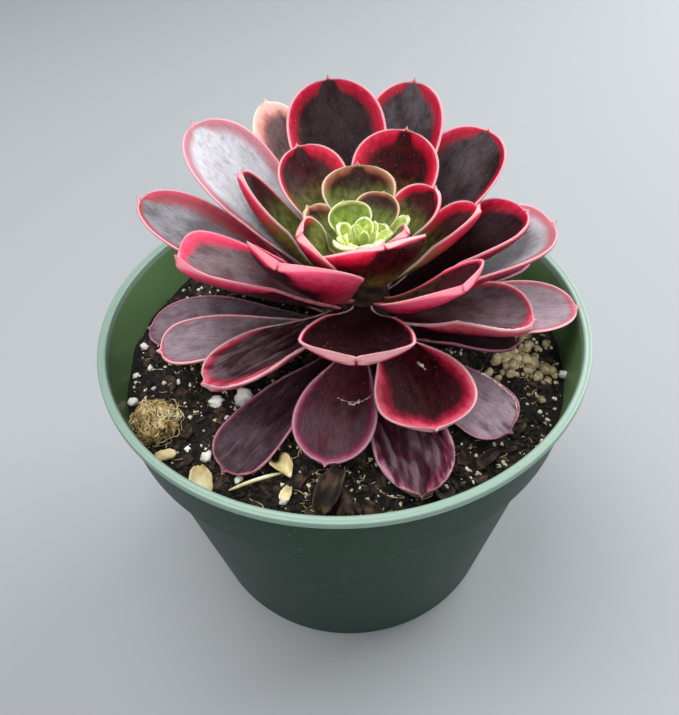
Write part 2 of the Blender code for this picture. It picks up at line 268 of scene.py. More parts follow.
def green_polypropylene():
    """Polypropylene moulded in a satin tool: even colour and soft gloss, glossier at its thin rim, with
    painted light that makes the rolled rim paler and the inner face of the collar paler and yellower, and
    a few pale specks of grit."""
    material, tree, shader = new_material("moulded green polypropylene")
    place = add(tree, "ShaderNodeTexCoord").outputs["Object"]
    height = add(tree, "ShaderNodeSeparateXYZ", {"Vector": place}).outputs["Z"]
    flow = add(tree, "ShaderNodeMapping", {"Vector": place, "Scale": (18, 18, 55)})
    clouds = add(tree, "ShaderNodeTexNoise", {"Vector": flow, "Scale": 1.0, "Detail": 4.0})
    body = add(tree, "ShaderNodeValToRGB", {"Fac": clouds}, stops=[(0.3, "0d2c1e"), (0.7, "153b28")])
    wide = add(tree, "ShaderNodeVectorMath", {0: place, 1: (1.0, 1.0, 0.0)}, operation="MULTIPLY")
    radius = add(tree, "ShaderNodeVectorMath", {0: wide}, operation="LENGTH").outputs["Value"]
    middle = add(tree, "ShaderNodeMapRange", {
        "Value": height, "From Min": COLLAR_FOOT * MM, "From Max": POT_HEIGHT * MM,
        "To Min": (COLLAR_FOOT_RADIUS - 0.6 * WALL) * MM, "To Max": (COLLAR_TOP_RADIUS - 0.6 * WALL) * MM})
    within = add(tree, "ShaderNodeMath", {0: radius, 1: middle}, operation="LESS_THAN")
    above = add(tree, "ShaderNodeMath", {0: height, 1: COLLAR_FOOT * MM}, operation="GREATER_THAN")
    inside = add(tree, "ShaderNodeMath", {0: within, 1: above}, operation="MULTIPLY")
    rim = add(tree, "ShaderNodeMapRange", {
        "Value": height, "From Min": (POT_HEIGHT - RIM_BEAD - 0.1) * MM,
        "From Max": (POT_HEIGHT - RIM_BEAD + 0.3) * MM})
    grit = add(tree, "ShaderNodeTexNoise", {"Vector": place, "Scale": 900.0, "Detail": 3.0})
    specks = add(tree, "ShaderNodeMapRange", {
        "Value": grit, "From Min": 0.66, "From Max": 0.72, "To Max": 0.5})
    colour = body
    # painted light: the collar's inner face paler and yellower, the rolled rim paler; the specks are grit
    for amount, over in ((inside, "67895a"), (rim, "7f9c8c"), (specks, "5f7d6b")):
        colour = add(tree, "ShaderNodeMixRGB", {"Fac": amount, "Color1": colour, "Color2": over})
    gloss = add(tree, "ShaderNodeMapRange", {"Value": clouds, "To Min": 0.36, "To Max": 0.5})
    shine = add(tree, "ShaderNodeMapRange", {"Value": rim, "To Min": 0.15, "To Max": 1.0})
    peel = add(tree, "ShaderNodeTexNoise", {"Vector": place, "Scale": 1400.0, "Detail": 2.0})
    bump = add(tree, "ShaderNodeBump", {"Height": peel, "Strength": 0.12, "Distance": 0.1 * MM})
    wire(tree, shader, {"Base Color": colour, "Roughness": gloss, "Normal": bump,
                        "Specular IOR Level": shine, "IOR": 1.49})
    return material


finished("pot_shell", drained(mesh_of(turned(pot_wall(), POT_SIDES))), green_polypropylene(),
         "pot_plastic", "pot")


# ---- Potting mix ---------------------------------------------------------------------------
# Peat, bark fines and roots, moist and almost black, that fill the pot to a finger's width
# below the rim. The top is lumpy; the plug below it takes the pot's shape.
GAP = 0.3               # clearance between the mix and the pot
SOIL_TOP = 69.6
SOIL_RADIUS = 53.4
SOIL_EDGE = 40.0        # from here out the top sinks towards the wall
SOIL_SINK = 0.9
SOIL_RINGS = 90
SOIL_SIDES = 260
LUMPS = ((9.0, 1.1), (3.2, 0.75), (1.1, 0.35))   # across, and how high, from coarse to fine


def smooth_step(value):
    """0 to 1, easing in and out."""
    value = min(1.0, max(0.0, value))
    return value * value * (3.0 - 2.0 * value)


def ground(x, y):
    """Height of the mix's lumpy top at a place."""
    height = SOIL_TOP - SOIL_SINK * smooth_step((math.hypot(x, y) - SOIL_EDGE) / 13.0)
    for across, tall in LUMPS:
        height += tall * noise.noise(Vector((x / across, y / across, across)))
    return height


def mix_plug():
    """The plug of mix: its top from the middle out, then down the pot's inner face."""
    foot = FLOOR + GAP
    top = [(SOIL_RADIUS * ring / SOIL_RINGS, SOIL_TOP) for ring in range(SOIL_RINGS + 1)]
    sides = [(SOIL_RADIUS, COLLAR_FOOT), (body_radius(STEP_INSIDE) - WALL - GAP, STEP_INSIDE),
             (body_radius(foot) - WALL - GAP, foot), (0.0, foot)]
    bm = turned(top + sides, SOIL_SIDES)
    for vert in bm.verts:
        if vert.co.z > SOIL_TOP - 0.1:
            vert.co.z = ground(vert.co.x, vert.co.y)
    return mesh_of(bm)


def moist_peat():
    """Moist peat: near black between brown crumbs, with hardly any gloss."""
    material, tree, shader = new_material("moist peat and bark fines")
    place = add(tree, "ShaderNodeTexCoord").outputs["Object"]
    crumbs = add(tree, "ShaderNodeTexNoise", {
        "Vector": place, "Scale": 620.0, "Detail": 6.0, "Roughness": 0.7})
    colour = add(tree, "ShaderNodeValToRGB", {"Fac": crumbs},
                 stops=[(0.42, "070504"), (0.62, "17100b"), (0.75, "33271e")])
    bump = add(tree, "ShaderNodeBump", {"Height": crumbs, "Strength": 0.9, "Distance": 0.6 * MM})
    wire(tree, shader, {"Base Color": colour, "Roughness": 0.92, "Normal": bump})
    return material


mix = finished("potting_mix", mix_plug(), moist_peat(), "potting_mix", "soil")


# ---- Crumbs, bark, roots and grit ----------------------------------------------------------
# What lies loose all over the mix: peat crumbs, chips of bark, dry root fibres and pale grit.
# Each kind is strewn over the top by one node tree.
GrainKind = namedtuple("GrainKind", "name colours roughness per_mm2 smallest largest tilt seed slot")


def along_axes(spot, sizes):
    """A point stretched by its own factor along each axis."""
    return Vector([part * size for part, size in zip(spot, sizes)])


def lump(bm, place, size, seed, rough=0.25, divisions=2):
    """A rounded, uneven grain: size is its three widths."""
    made = bmesh.ops.create_icosphere(bm, subdivisions=divisions, radius=0.5)["verts"]
    shift = Vector((seed * 1.7, seed * 2.3, seed * 3.1))
    for vert in made:
        swell = 1.0 + rough * noise.noise(vert.co * 3.0 + shift) * 2.0
        vert.co = along_axes(vert.co, size) * swell
    turn = Matrix.Rotation(seed * 1.3, 3, "Z")
    for vert in made:
        vert.co = turn @ vert.co + Vector(place)


def strand(bm, points, radius, sides=5, taper=0.5):
    """A thin round thread along a list of points, thinner at its ends."""
    last = len(points) - 1
    rings = []
    for index, point in enumerate(points):
        ahead = points[min(index + 1, last)] - points[max(index - 1, 0)]
        turn = ahead.to_track_quat("Z", "X")
        width = radius * (1.0 - taper * abs(2.0 * index / last - 1.0) ** 3)
        rings.append([bm.verts.new(point + turn @ polar(width, angle)) for angle in around(sides)])
    bridge(bm, rings)


def plate(bm, middle, length, width, thick, bend, turn, tilt, seed, point=0.0, steps=8):
    """A thin bent flake with uneven edges: a chip of bark, a husk or a dry leaf."""
    pose = (Matrix.Rotation(math.radians(turn), 3, "Z") @ Matrix.Rotation(math.radians(tilt), 3, "Y"))
    layers = []
    for layer in (0.5, -0.5):
        grid = []
        for along in range(steps + 1):
            row = []
            for across in range(steps + 1):
                u, v = 2.0 * along / steps - 1.0, 2.0 * across / steps - 1.0
                narrow = math.sqrt(max(0.02, 1.0 - (1.0 - point) * u ** 4)) * (1.0 - point * max(0.0, u))
                ragged = 1.0 + 0.15 * noise.noise(Vector((u * 2, v * 2, seed)))
                spot = Vector((0.5 * length * u * ragged, 0.5 * width * v * narrow * ragged,
                               bend * (v * v - 0.3 * u * u) + layer * thick
                               + 0.3 * thick * noise.noise(Vector((u * 3, v * 3, seed + 9)))))
                row.append(bm.verts.new(pose @ spot + Vector(middle)))
            grid.append(row)
        layers.append(grid)
    top, under = layers
    for i in range(steps):
        for j in range(steps):
            bm.faces.new((top[i][j], top[i + 1][j], top[i + 1][j + 1], top[i][j + 1]))
            bm.faces.new((under[i][j], under[i][j + 1], under[i + 1][j + 1], under[i + 1][j]))
    edge = [(i, 0) for i in range(steps)] + [(steps, j) for j in range(steps)]
    edge += [(i, steps) for i in range(steps, 0, -1)] + [(0, j) for j in range(steps, 0, -1)]
    for (i, j), (k, m) in zip(edge, edge[1:] + edge[:1]):
        bm.faces.new((top[i][j], under[i][j], under[k][m], top[k][m]))


def grain_shapes(kind, dice):
    """Six shapes of one kind, of unit length, for the strewing tree to choose from."""
    shapes = bpy.data.collections.new(kind.name + "_shapes")
    for number in range(6):
        bm = bmesh.new()
        if kind.name == "root_fibres":
            bends = [dice.uniform(-0.7, 0.7) for _ in range(3)]
            path = [Vector((t - 0.5, 0.16 * sum(bend * math.sin((k + 1) * math.pi * t)
                                                 for k, bend in enumerate(bends)),
                            0.1 * bends[0] * math.sin(math.pi * t))) for t in np.linspace(0, 1, 9)]
            strand(bm, path, 0.016, sides=4)
        elif kind.name == "bark_chips":
            plate(bm, (0, 0, 0), 1.0, dice.uniform(0.4, 0.8), 0.13, 0.06, 0, 0, number, steps=4)
        else:
            wide = [dice.uniform(0.6, 1.0) for _ in range(2)]
            rough = 0.45 if kind.name == "peat_crumbs" else 0.22
            divisions = 1 if kind.name in ("peat_crumbs", "white_grit") else 2
            lump(bm, (0, 0, 0), (1.0, *wide), number + 1, rough, divisions)
        shape = bpy.data.objects.new(f"{kind.name}_{number}", bpy.data.meshes.new("shape"))
        bm.to_mesh(shape.data)
        bm.free()
        shapes.objects.link(shape)
    return shapes


def node_tree(name, inputs):
    """A Geometry Nodes tree that takes a mesh and the named inputs, and its input sockets."""
    tree = bpy.data.node_groups.new(name, "GeometryNodeTree")
    inputs = {"Geometry": "Geometry", **inputs, "Seed": "Int", "Material": "Material"}
    for socket, kind in inputs.items():
        tree.interface.new_socket(name=socket, in_out="INPUT", socket_type="NodeSocket" + kind)
    tree.interface.new_socket(name="Geometry", in_out="OUTPUT", socket_type="NodeSocketGeometry")
    return tree, add(tree, "NodeGroupInput").outputs


def realised(tree, placed, material):
    """End a tree: its instances become plain faces of one material."""
    solid = add(tree, "GeometryNodeRealizeInstances", {"Geometry": placed})
    painted = add(tree, "GeometryNodeSetMaterial", {"Geometry": solid, "Material": material})
    add(tree, "NodeGroupOutput", {"Geometry": painted})
    return tree


def strewing_tree():
    """Points over a surface, each with a shape, a turn, a tilt and a size picked at random."""
    tree, given = node_tree("strewn_grains", {
        "Shapes": "Collection", "Per square metre": "Float", "Smallest": "Float", "Largest": "Float",
        "Tilt": "Float"})
    points = add(tree, "GeometryNodeDistributePointsOnFaces", {
        "Mesh": given["Geometry"], "Density": given["Per square metre"], "Seed": given["Seed"]})
    shapes = add(tree, "GeometryNodeCollectionInfo", {
        "Collection": given["Shapes"], "Separate Children": True, "Reset Children": True})
    back = add(tree, "ShaderNodeMath", {0: given["Tilt"], 1: -1.0}, operation="MULTIPLY")
    lowest = add(tree, "ShaderNodeCombineXYZ", {"X": back, "Y": back})
    highest = add(tree, "ShaderNodeCombineXYZ", {"X": given["Tilt"], "Y": given["Tilt"], "Z": 2 * math.pi})
    turn = add(tree, "FunctionNodeRandomValue", {
        0: lowest, 1: highest, "Seed": given["Seed"]}, data_type="FLOAT_VECTOR")
    size = add(tree, "FunctionNodeRandomValue", {
        2: given["Smallest"], 3: given["Largest"], "Seed": given["Seed"]}, data_type="FLOAT")
    placed = add(tree, "GeometryNodeInstanceOnPoints", {
        "Points": points, "Instance": shapes, "Pick Instance": True, "Rotation": turn,
        "Scale": size.outputs[1]})
    return realised(tree, placed, given["Material"])


def grown(surface, tree, values):
    """The plain mesh that a node tree makes on a surface, with its named inputs set."""
    base = shown("base", surface)
    modifier = base.modifiers.new("grow", "NODES")
    modifier.node_group = tree
    sockets = {item.name: item.identifier for item in tree.interface.items_tree
               if item.in_out == "INPUT"}
    for name, value in values.items():
        modifier[sockets[name]] = value
    return applied(base)


def mineral(name, colours, roughness, scale):
    """A dull grain or fibre: mottled between colours, pitted at the given scale per metre."""
    material, tree, shader = new_material(name)
    place = add(tree, "ShaderNodeTexCoord").outputs["Object"]
    spots = add(tree, "ShaderNodeTexNoise", {"Vector": place, "Scale": scale, "Detail": 4.0})
    stops = [(0.35 + 0.3 * index / (len(colours) - 1), colour) for index, colour in enumerate(colours)]
    colour = add(tree, "ShaderNodeValToRGB", {"Fac": spots}, stops=stops)
    bump = add(tree, "ShaderNodeBump", {"Height": spots, "Strength": 0.6, "Distance": 0.2 * MM})
    wire(tree, shader, {"Base Color": colour, "Roughness": roughness, "Normal": bump})
    return material


KINDS = [
    GrainKind("peat_crumbs", ("090605", "1a120d", "3a2b1f"), 0.9, 0.95, 0.5, 2.2, 3.1, 3, "potting_mix"),
    GrainKind("bark_chips", ("150d09", "2c1d14", "5c4330"), 0.8, 0.04, 2.0, 5.5, 0.6, 11, "potting_mix"),
    GrainKind("root_fibres", ("7d6348", "b79a72", "e4d3ac"), 0.7, 0.09, 4.0, 11.0, 0.25, 7, "potting_mix"),
    GrainKind("white_grit", ("a39878", "dfd6bc", "f6f2e6"), 0.8, 0.17, 0.4, 1.5, 3.1, 5, "perlite"),
]


def soil_top(clear):
    """The lumpy top of the mix alone, clear of the wall, on which the loose pieces are strewn."""
    bm = bmesh.new()
    bm.from_mesh(mix.data)
    lowest, reach = (SOIL_TOP - 3.5) * MM, (SOIL_RADIUS - clear) * MM
    beyond = [vert for vert in bm.verts
              if vert.co.z < lowest or math.hypot(vert.co.x, vert.co.y) > reach]
    bmesh.ops.delete(bm, geom=beyond, context="VERTS")
    mesh = bpy.data.meshes.new("soil_top")
    bm.to_mesh(mesh)
    bm.free()
    return mesh


strewing = strewing_tree()
for kind in KINDS:
    shapes = grain_shapes(kind, random.Random(kind.seed))
    stuff = mineral(kind.name, kind.colours, kind.roughness, 400.0)
    strewn = grown(soil_top(0.5 * kind.largest), strewing, {
        "Shapes": shapes, "Per square metre": kind.per_mm2 / MM ** 2, "Smallest": kind.smallest * MM,
        "Largest": kind.largest * MM, "Tilt": kind.tilt, "Seed": kind.seed, "Material": stuff})
    finished(kind.name, strewn, None, kind.slot)
    for shape in list(shapes.objects):
        bpy.data.objects.remove(shape)
    bpy.data.collections.remove(shapes)


# ---- Perlite, pumice and litter ------------------------------------------------------------
# The larger grains and scraps that lie on the mix one by one: puffed perlite, a spill of
# rounded pumice, a ball of coir, a seed husk, a dry yellow leaf on its stalk and dead leaves.
PERLITE = [(-23.2, -16.1, 5.6), (-30.1, -16.2, 3.4), (-43.0, -1.4, 2.4), (-51.0, 4.5, 2.2),
           (-48.2, -2.5, 1.8), (-51.5, -4.6, 2.0), (-40.3, -8.8, 1.6), (-27.1, -21.1, 1.9),
           (-50.0, -14.8, 2.6), (-30.7, -31.9, 2.8), (-28.6, -37.0, 1.8), (-23.3, -37.7, 2.2),
           (-35.2, -29.2, 1.6), (-13.5, -43.5, 2.0), (-14.0, -48.0, 2.2), (52.0, -11.0, 2.6)]
PUMICE_MIDDLE = (43.5, -6.0)
PUMICE_SPREAD = (9.0, 8.0)
PUMICE_COUNT = 110
COIR_PLACE = (-42.9, -22.4)
COIR_RADII = (4.9, 5.4, 3.8)
COIR_HEART = (3.6, 4.0, 2.6)
COIR_FIBRES = 460
COIR_CRUMBS = 26


def grains(spots, seed, rough, sink=0.15):
    """Grains of the given (x, y, size) resting on the mix, each a little different."""
    bm = bmesh.new()
    for index, (x, y, size) in enumerate(spots):
        dice = random.Random(seed + index)
        widths = (size, size * dice.uniform(0.75, 0.95), size * dice.uniform(0.65, 0.85))
        rest = ground(x, y) + widths[2] * (0.5 - sink)
        lump(bm, (x, y, rest), widths, index + seed, rough, 3 if size > 3 else 2)
    return mesh_of(bm)


finished("perlite_grains", grains(PERLITE, 21, 0.3),
         mineral("puffed perlite", ("dedacb", "f6f3ea", "ffffff"), 0.85, 700.0), "perlite",
         "perlite_chip_1", "perlite_chip_2")

dice = random.Random(4)
pumice_spots = []
while len(pumice_spots) < PUMICE_COUNT:
    spot = [middle + dice.gauss(0, 0.55) * spread for middle, spread in zip(PUMICE_MIDDLE, PUMICE_SPREAD)]
    if math.hypot(*spot) < SOIL_RADIUS - 1.5:
        pumice_spots.append((*spot, dice.uniform(1.0, 3.0)))
finished("pumice_gravel", grains(pumice_spots, 55, 0.2, sink=0.05),
         mineral("rounded pumice", ("7e7050", "baa982", "ded2ae"), 0.85, 500.0), "pumice",
         "pumice_chip_1")


def coir_ball():
    """A wad of pale fibres, most lying along the surface of a flattened ball, some loose."""
    bm = bmesh.new()
    dice = random.Random(9)
    noise.seed_set(9)       # noise_vector would otherwise differ from run to run
    middle = Vector((*COIR_PLACE, ground(*COIR_PLACE) + 3.0))
    for _ in range(COIR_FIBRES):
        axis = Vector((dice.gauss(0, 1), dice.gauss(0, 1), dice.gauss(0, 1))).normalized()
        start = axis.orthogonal().normalized() * min(1.25, abs(dice.gauss(0.9, 0.14)))
        sweep = dice.uniform(0.3, 1.1)
        begin = dice.uniform(0, 2 * math.pi)
        path = []
        for step in range(7):
            spot = Matrix.Rotation(begin + sweep * step / 6, 3, axis) @ start
            spot = spot + 0.3 * noise.noise_vector(spot * 2.5 + axis * 5.0)
            path.append(middle + along_axes(spot, COIR_RADII))
        strand(bm, path, dice.uniform(0.06, 0.2), sides=4)
    for _ in range(COIR_CRUMBS):
        way = Vector((dice.gauss(0, 1), dice.gauss(0, 1), dice.gauss(0, 1))).normalized()
        crumb = middle + along_axes(way, COIR_HEART)
        lump(bm, crumb, [dice.uniform(1.6, 3.2) for _ in range(3)], dice.randint(1, 90), 0.5)
    return mesh_of(bm)


finished("coir_ball", coir_ball(),
         mineral("dry coir", ("8f7648", "d0b681", "f0e2b4"), 0.8, 300.0), "husk")


def litter():
    """A seed husk, a tan chip, a dry leaf with its stalk, and a scrap broken off it."""
    bm = bmesh.new()
    plate(bm, (-31.1, -38.1, ground(-31, -38) + 1.6), 6.4, 5.0, 0.6, 0.9, 100, -28, 2, point=0.3)
    plate(bm, (-39.9, -31.1, ground(-40, -31) + 0.8), 5.0, 2.6, 0.8, 0.3, 25, 10, 5)
    plate(bm, (-13.7, -37.1, ground(-14, -37) + 2.2), 7.0, 4.2, 0.4, 1.6, -60, -20, 8, point=0.25)
    plate(bm, (-13.0, -42.1, ground(-13, -42) + 0.8), 3.6, 2.4, 0.4, 0.5, 70, 0, 4, point=0.5)
    foot = ground(-20, -40) + 0.9
    stalk = [Vector((-25.0 + 11.0 * t, -40.6 + 2.7 * t, foot + 1.6 * t + 0.6 * math.sin(3 * t)))
             for t in np.linspace(0, 1, 10)]
    strand(bm, stalk, 0.42, sides=7)
    return mesh_of(bm)


finished("dry_litter", litter(),
         mineral("dry leaf and husk", ("b8a26c", "e2d4a0", "f6efd2"), 0.7, 200.0), "husk", "seed_husk")


def dead_leaves():
    """Shrivelled brown leaves that the plant has dropped at the front."""
    bm = bmesh.new()
    plate(bm, (-3.5, -42.5, ground(-3, -42) + 1.8), 10.0, 5.0, 1.2, 3.0, 62, -20, 12, point=0.4, steps=14)
    plate(bm, (-1.0, -45.0, ground(-1, -45) + 1.6), 8.0, 4.0, 1.4, -2.4, 95, 14, 17, point=0.3, steps=14)
    plate(bm, (4.5, -48.0, ground(4, -48) + 1.2), 7.0, 3.2, 1.0, 1.8, 128, -8, 15, point=0.5, steps=14)
    plate(bm, (30.0, -35.0, ground(30, -35) + 1.0), 6.0, 2.6, 0.9, 1.4, 35, -10, 18, point=0.5, steps=14)
    return mesh_of(bm)


finished("dead_leaf_scraps", dead_leaves(),
         mineral("shrivelled leaf", ("140c08", "2e1e14", "5c4632"), 0.8, 350.0), "potting_mix")


# ---- Stem ----------------------------------------------------------------------------------
# The plant's own short trunk, brown below and green at the crown, ringed with the scars of leaves that it
# has dropped. The dark brown reaches up to near the crown, partly as painted shade where the leaves hang
# over the stem.
STEM_FOOT = Vector((6.0, 2.0, 60.5))
STEM_TOP = Vector((4.5, -3.0, 101.0))
STEM_RADIUS = 6.0
CROWN_START = 88.0
CROWN_SLOPE = 0.22
STEM_RINGS = 90
STEM_SIDES = 48
# the brown is kept up to here partly as painted shade under the leaves
GREENING = (95.0, 101.0)    # heights between which the bark turns from brown to green


def stem_axis(height):
    """The middle of the stem, which leans a little."""
    climbed = (height - STEM_FOOT.z) / (STEM_TOP.z - STEM_FOOT.z)
    return STEM_FOOT.lerp(STEM_TOP, climbed)


def stem_radius(height):
    """The stem is even up to the crown, and tapers from there."""
    return STEM_RADIUS - max(0.0, height - CROWN_START) * CROWN_SLOPE


def trunk():
    """The stem's skin: wavy rings of leaf scars over a slightly uneven trunk."""
    bm = bmesh.new()
    rings = []
    for height in np.linspace(STEM_FOOT.z + 0.5, STEM_TOP.z + 0.6, STEM_RINGS):
        ring = []
        for angle in around(STEM_SIDES):
            scar = 0.35 * abs(math.sin(0.9 * height + 2 * angle)) ** 0.5
            swell = 0.35 * noise.noise(Vector((3 * math.cos(angle), 3 * math.sin(angle), height * 0.5)))
            radius = stem_radius(height) - 0.3 + scar + swell
            ring.append(bm.verts.new(stem_axis(height) + polar(radius, angle)))
        rings.append(ring)
    bridge(bm, rings)
    return mesh_of(bm)


def green_bark():
    """Young succulent bark: a brown corky skin that thins to green towards the crown; the dark brown is
    partly painted shade where the leaves hang over the stem.
    """
    material, tree, shader = new_material("young succulent bark")
    place = add(tree, "ShaderNodeTexCoord").outputs["Object"]
    height = add(tree, "ShaderNodeSeparateXYZ", {"Vector": place}).outputs["Z"]
    cork = add(tree, "ShaderNodeTexNoise", {"Vector": place, "Scale": 500.0, "Detail": 5.0})
    # the dark brown stands partly for painted shade where the leaves hang over the stem
    brown = add(tree, "ShaderNodeValToRGB", {"Fac": cork}, stops=[(0.35, "1c0f0c"), (0.65, "3d2720")])
    green = add(tree, "ShaderNodeValToRGB", {"Fac": cork}, stops=[(0.35, "49401c"), (0.65, "7c8434")])
    climb = add(tree, "ShaderNodeMapRange", {
        "Value": height, "From Min": GREENING[0] * MM, "From Max": GREENING[1] * MM})
    colour = add(tree, "ShaderNodeMixRGB", {"Fac": climb, "Color1": brown, "Color2": green})
    bump = add(tree, "ShaderNodeBump", {"Height": cork, "Strength": 0.6, "Distance": 0.3 * MM})
    wire(tree, shader, {"Base Color": colour, "Roughness": 0.75, "Normal": bump})
    return material


finished("leafy_trunk", trunk(), green_bark(), "stem", "stem")


# ---- Old leaves ----------------------------------------------------------------------------
# The oldest leaves reach out low over the mix. They have turned a dull purple grey and lost
# water, so their upper faces are finely wrinkled along their length.
ROLL_DONE = 0.4
MIDRIB_STEPS = 60
STATIONS = 54
EDGE_STEPS = 4

# Azimuth turns from +X towards +Y. Height is where the neck meets the stem. Rise is the
# midrib's mean slope and curl is how much steeper it starts; sweep bends it sideways; cup is
# the half angle of its channel and roll turns the blade about its midrib. Band is the width of
# the red margin on the right edge, at the tip and on the left edge, looking out along the leaf.
# The field bloom is how much grey waxy bloom the skin shows, partly painted sheen where the leaf faces the
# sky, and green is how much green. The blade is broadest at the share "widest" of its length, and a higher
# power squares its end.
Leaf = namedtuple("Leaf", "azimuth height length rise curl width cup roll sweep band bloom green "
                  "widest power", defaults=(0.7, 2.3))
# What the leaves of one turn of the rosette share. Blush is how many times wider the red margin
# is on the outer face than on the upper one. Along the leaf it grows in from the share "bare"
# and fades out at the share "stop".
Turn = namedtuple("Turn", "neck neck_thick thick edge mucro wrinkle wave blush bare stop",
                  defaults=(0.2, 2.0))


def half_width(leaf, turn, along):
    """Half the blade's width: a narrow neck, a broad blade, a blunt end with a small point."""
    width = turn.neck + (leaf.width - turn.neck) * smooth_step(along / leaf.widest)
    past = max(0.0, along - leaf.widest) / (1.0 - leaf.widest)
    blunt = 0.5 * width * math.sqrt(max(0.0, 1.0 - past ** leaf.power))
    to_point = max(0.0, leaf.length + turn.mucro - along * leaf.length) / turn.mucro
    point = 0.42 * turn.mucro * to_point ** 1.4
    return max(blunt, point) if to_point < 2.5 else blunt


def heading(leaf, along):
    """Unit vectors along the midrib, across the blade and out of its upper face."""
    rise = math.radians(leaf.rise + leaf.curl * (1.0 - 2.0 * along))
    turn = math.radians(leaf.azimuth + leaf.sweep * (along - 0.5))
    forward = polar(math.cos(rise), turn, math.sin(rise))
    across = Vector((-math.sin(turn), math.cos(turn), 0.0))
    roll = math.radians(leaf.roll) * min(1.0, along / ROLL_DONE)
    across.rotate(Matrix.Rotation(roll, 3, forward))
    return forward, across, forward.cross(across)


def midrib(leaf):
    """Points along the midrib at equal steps, from the neck to the tip."""
    outward = polar(1.0, math.radians(leaf.azimuth - 0.5 * leaf.sweep))
    point = stem_axis(leaf.height) + stem_radius(leaf.height) * outward
    points = [point.copy()]
    step = leaf.length / MIDRIB_STEPS
    for index in range(int(MIDRIB_STEPS * 1.2)):
        point = point + heading(leaf, (index + 0.5) / MIDRIB_STEPS)[0] * step
        points.append(point.copy())
    return points


class Blade:
    """One leaf's surface: gives the point at a share of its length and a share of its width."""

    def __init__(self, leaf, turn, seed):
        self.leaf, self.turn, self.seed = leaf, turn, seed
        self.points = midrib(leaf)
        self.end = 1.0 + turn.mucro / leaf.length

    def middle(self, along):
        """A point on the midrib."""
        place = along * MIDRIB_STEPS
        index = min(len(self.points) - 2, int(place))
        return self.points[index].lerp(self.points[index + 1], place - index)

    def cup(self, along):
        """Half angle of the channel, flatter towards both ends."""
        return math.radians(self.leaf.cup) * max(0.3, 1.15 - 1.1 * abs(along - 0.5))

    def thickness(self, along):
        """Thickness of the flesh under the midrib."""
        turn = self.turn
        grown_in = smooth_step(along / 0.4)
        thick = turn.neck_thick + (turn.thick - turn.neck_thick) * grown_in
        half = half_width(self.leaf, turn, along)
        return thick * math.sqrt(half / (half + 0.15 * half_width(self.leaf, turn, self.leaf.widest)))

    def rumple(self, along, side):
        """How far wrinkles lift the skin: ridges that run along the leaf."""
        across = side * half_width(self.leaf, self.turn, along)
        spot = Vector((across * 0.75, along * self.leaf.length * 0.13, self.seed))
        fine = Vector((across * 1.7, along * self.leaf.length * 0.3, self.seed + 40))
        lift = noise.noise(spot) + 0.5 * noise.noise(fine)
        return self.turn.wrinkle * lift * smooth_step(4 * along)

    def ripple(self, along, side):
        """A slow wave of the margin, up and down."""
        spot = Vector((along * 2.6 + self.seed, 2.0 * (side > 0), self.seed * 0.7))
        return self.turn.wave * side * side * noise.noise(spot) * smooth_step(2 * along)

    def at(self, along, side, depth=0.0, out=0.0):
        """The point below the upper face by depth and beyond the margin by out."""
        _, across, up = heading(self.leaf, along)
        half = half_width(self.leaf, self.turn, along)
        cup = self.cup(along)
        bend = half / cup
        angle = cup * side
        outward = across * math.cos(angle) + up * math.sin(angle)
        facing = up * math.cos(angle) - across * math.sin(angle)
        return (self.middle(along) + across * bend * math.sin(angle)
                + up * (bend * (1.0 - math.cos(angle)) + self.ripple(along, side))
                - facing * depth + outward * out * (1 if side > 0 else -1))


def rounded_edge(side, edge):
    """Half a circle round a margin: its points' side, depth, reach past the margin and facing."""
    points = []
    for step in range(1, EDGE_STEPS):
        angle = math.pi * step / EDGE_STEPS
        depth = 0.5 * edge * (1 - side * math.cos(angle))
        points.append((side, depth, 0.5 * edge * math.sin(angle), 0.5))
    return points


def blade_mesh(blade):
    """A fleshy leaf: fine sections from the neck to the point of the mucro, closed all round."""
    leaf, turn = blade.leaf, blade.turn
    stations = [blade.end * (1.0 - (1.0 - step / STATIONS) ** 1.7) for step in range(STATIONS)]
    across = 2 * round(0.65 * leaf.width + 4) + 1
    sides = [0.6 * share + 0.4 * math.sin(0.5 * math.pi * share)
             for share in np.linspace(-1.0, 1.0, across)]
    corners, flats, faces_up = [], [], []
    for along in stations:
        half = half_width(leaf, turn, along)
        edge = min(turn.edge, 0.9 * half)
        flesh = blade.thickness(along)
        upper, under = [], []
        for side in sides:
            crease = 0.12 * math.exp(-(side * half / 0.8) ** 2)
            upper.append((side, crease - blade.rumple(along, side), 0.0, 1.0))
            depth = edge + flesh * (1.0 - side * side) ** 0.85 + 0.5 * blade.rumple(along, -side)
            under.insert(0, (side, depth, 0.0, 0.0))
        for side, depth, out, facing in upper + rounded_edge(1.0, edge) + under + rounded_edge(-1.0, edge):
            corners.append(blade.at(along, side, depth, out))
            flats.append((along, side, half))
            faces_up.append(facing)
    tip = len(corners)
    ring = tip // STATIONS
    faces = [(row + k, row + (k + 1) % ring, row + ring + (k + 1) % ring, row + ring + k)
             for row in range(0, tip - ring, ring) for k in range(ring)]
    faces += [(tip - ring + k, tip - ring + (k + 1) % ring, tip) for k in range(ring)]
    faces.append(tuple(reversed(range(ring))))
    corners.append(blade.middle(blade.end))
    flats.append((blade.end, 0.0, 0.0))
    faces_up.append(0.5)
    mesh = bpy.data.meshes.new("blade")
    mesh.from_pydata([corner * MM for corner in corners], [], faces)
    bm = bmesh.new()
    bm.from_mesh(mesh)
    bmesh.ops.recalc_face_normals(bm, faces=bm.faces)
    bm.to_mesh(mesh)
    bm.free()
    paint_values(mesh, blade, np.array(flats), np.array(faces_up))
    return mesh


def smooth_steps(values):
    """smooth_step for an array."""
    values = np.clip(values, 0.0, 1.0)
    return values * values * (3.0 - 2.0 * values)


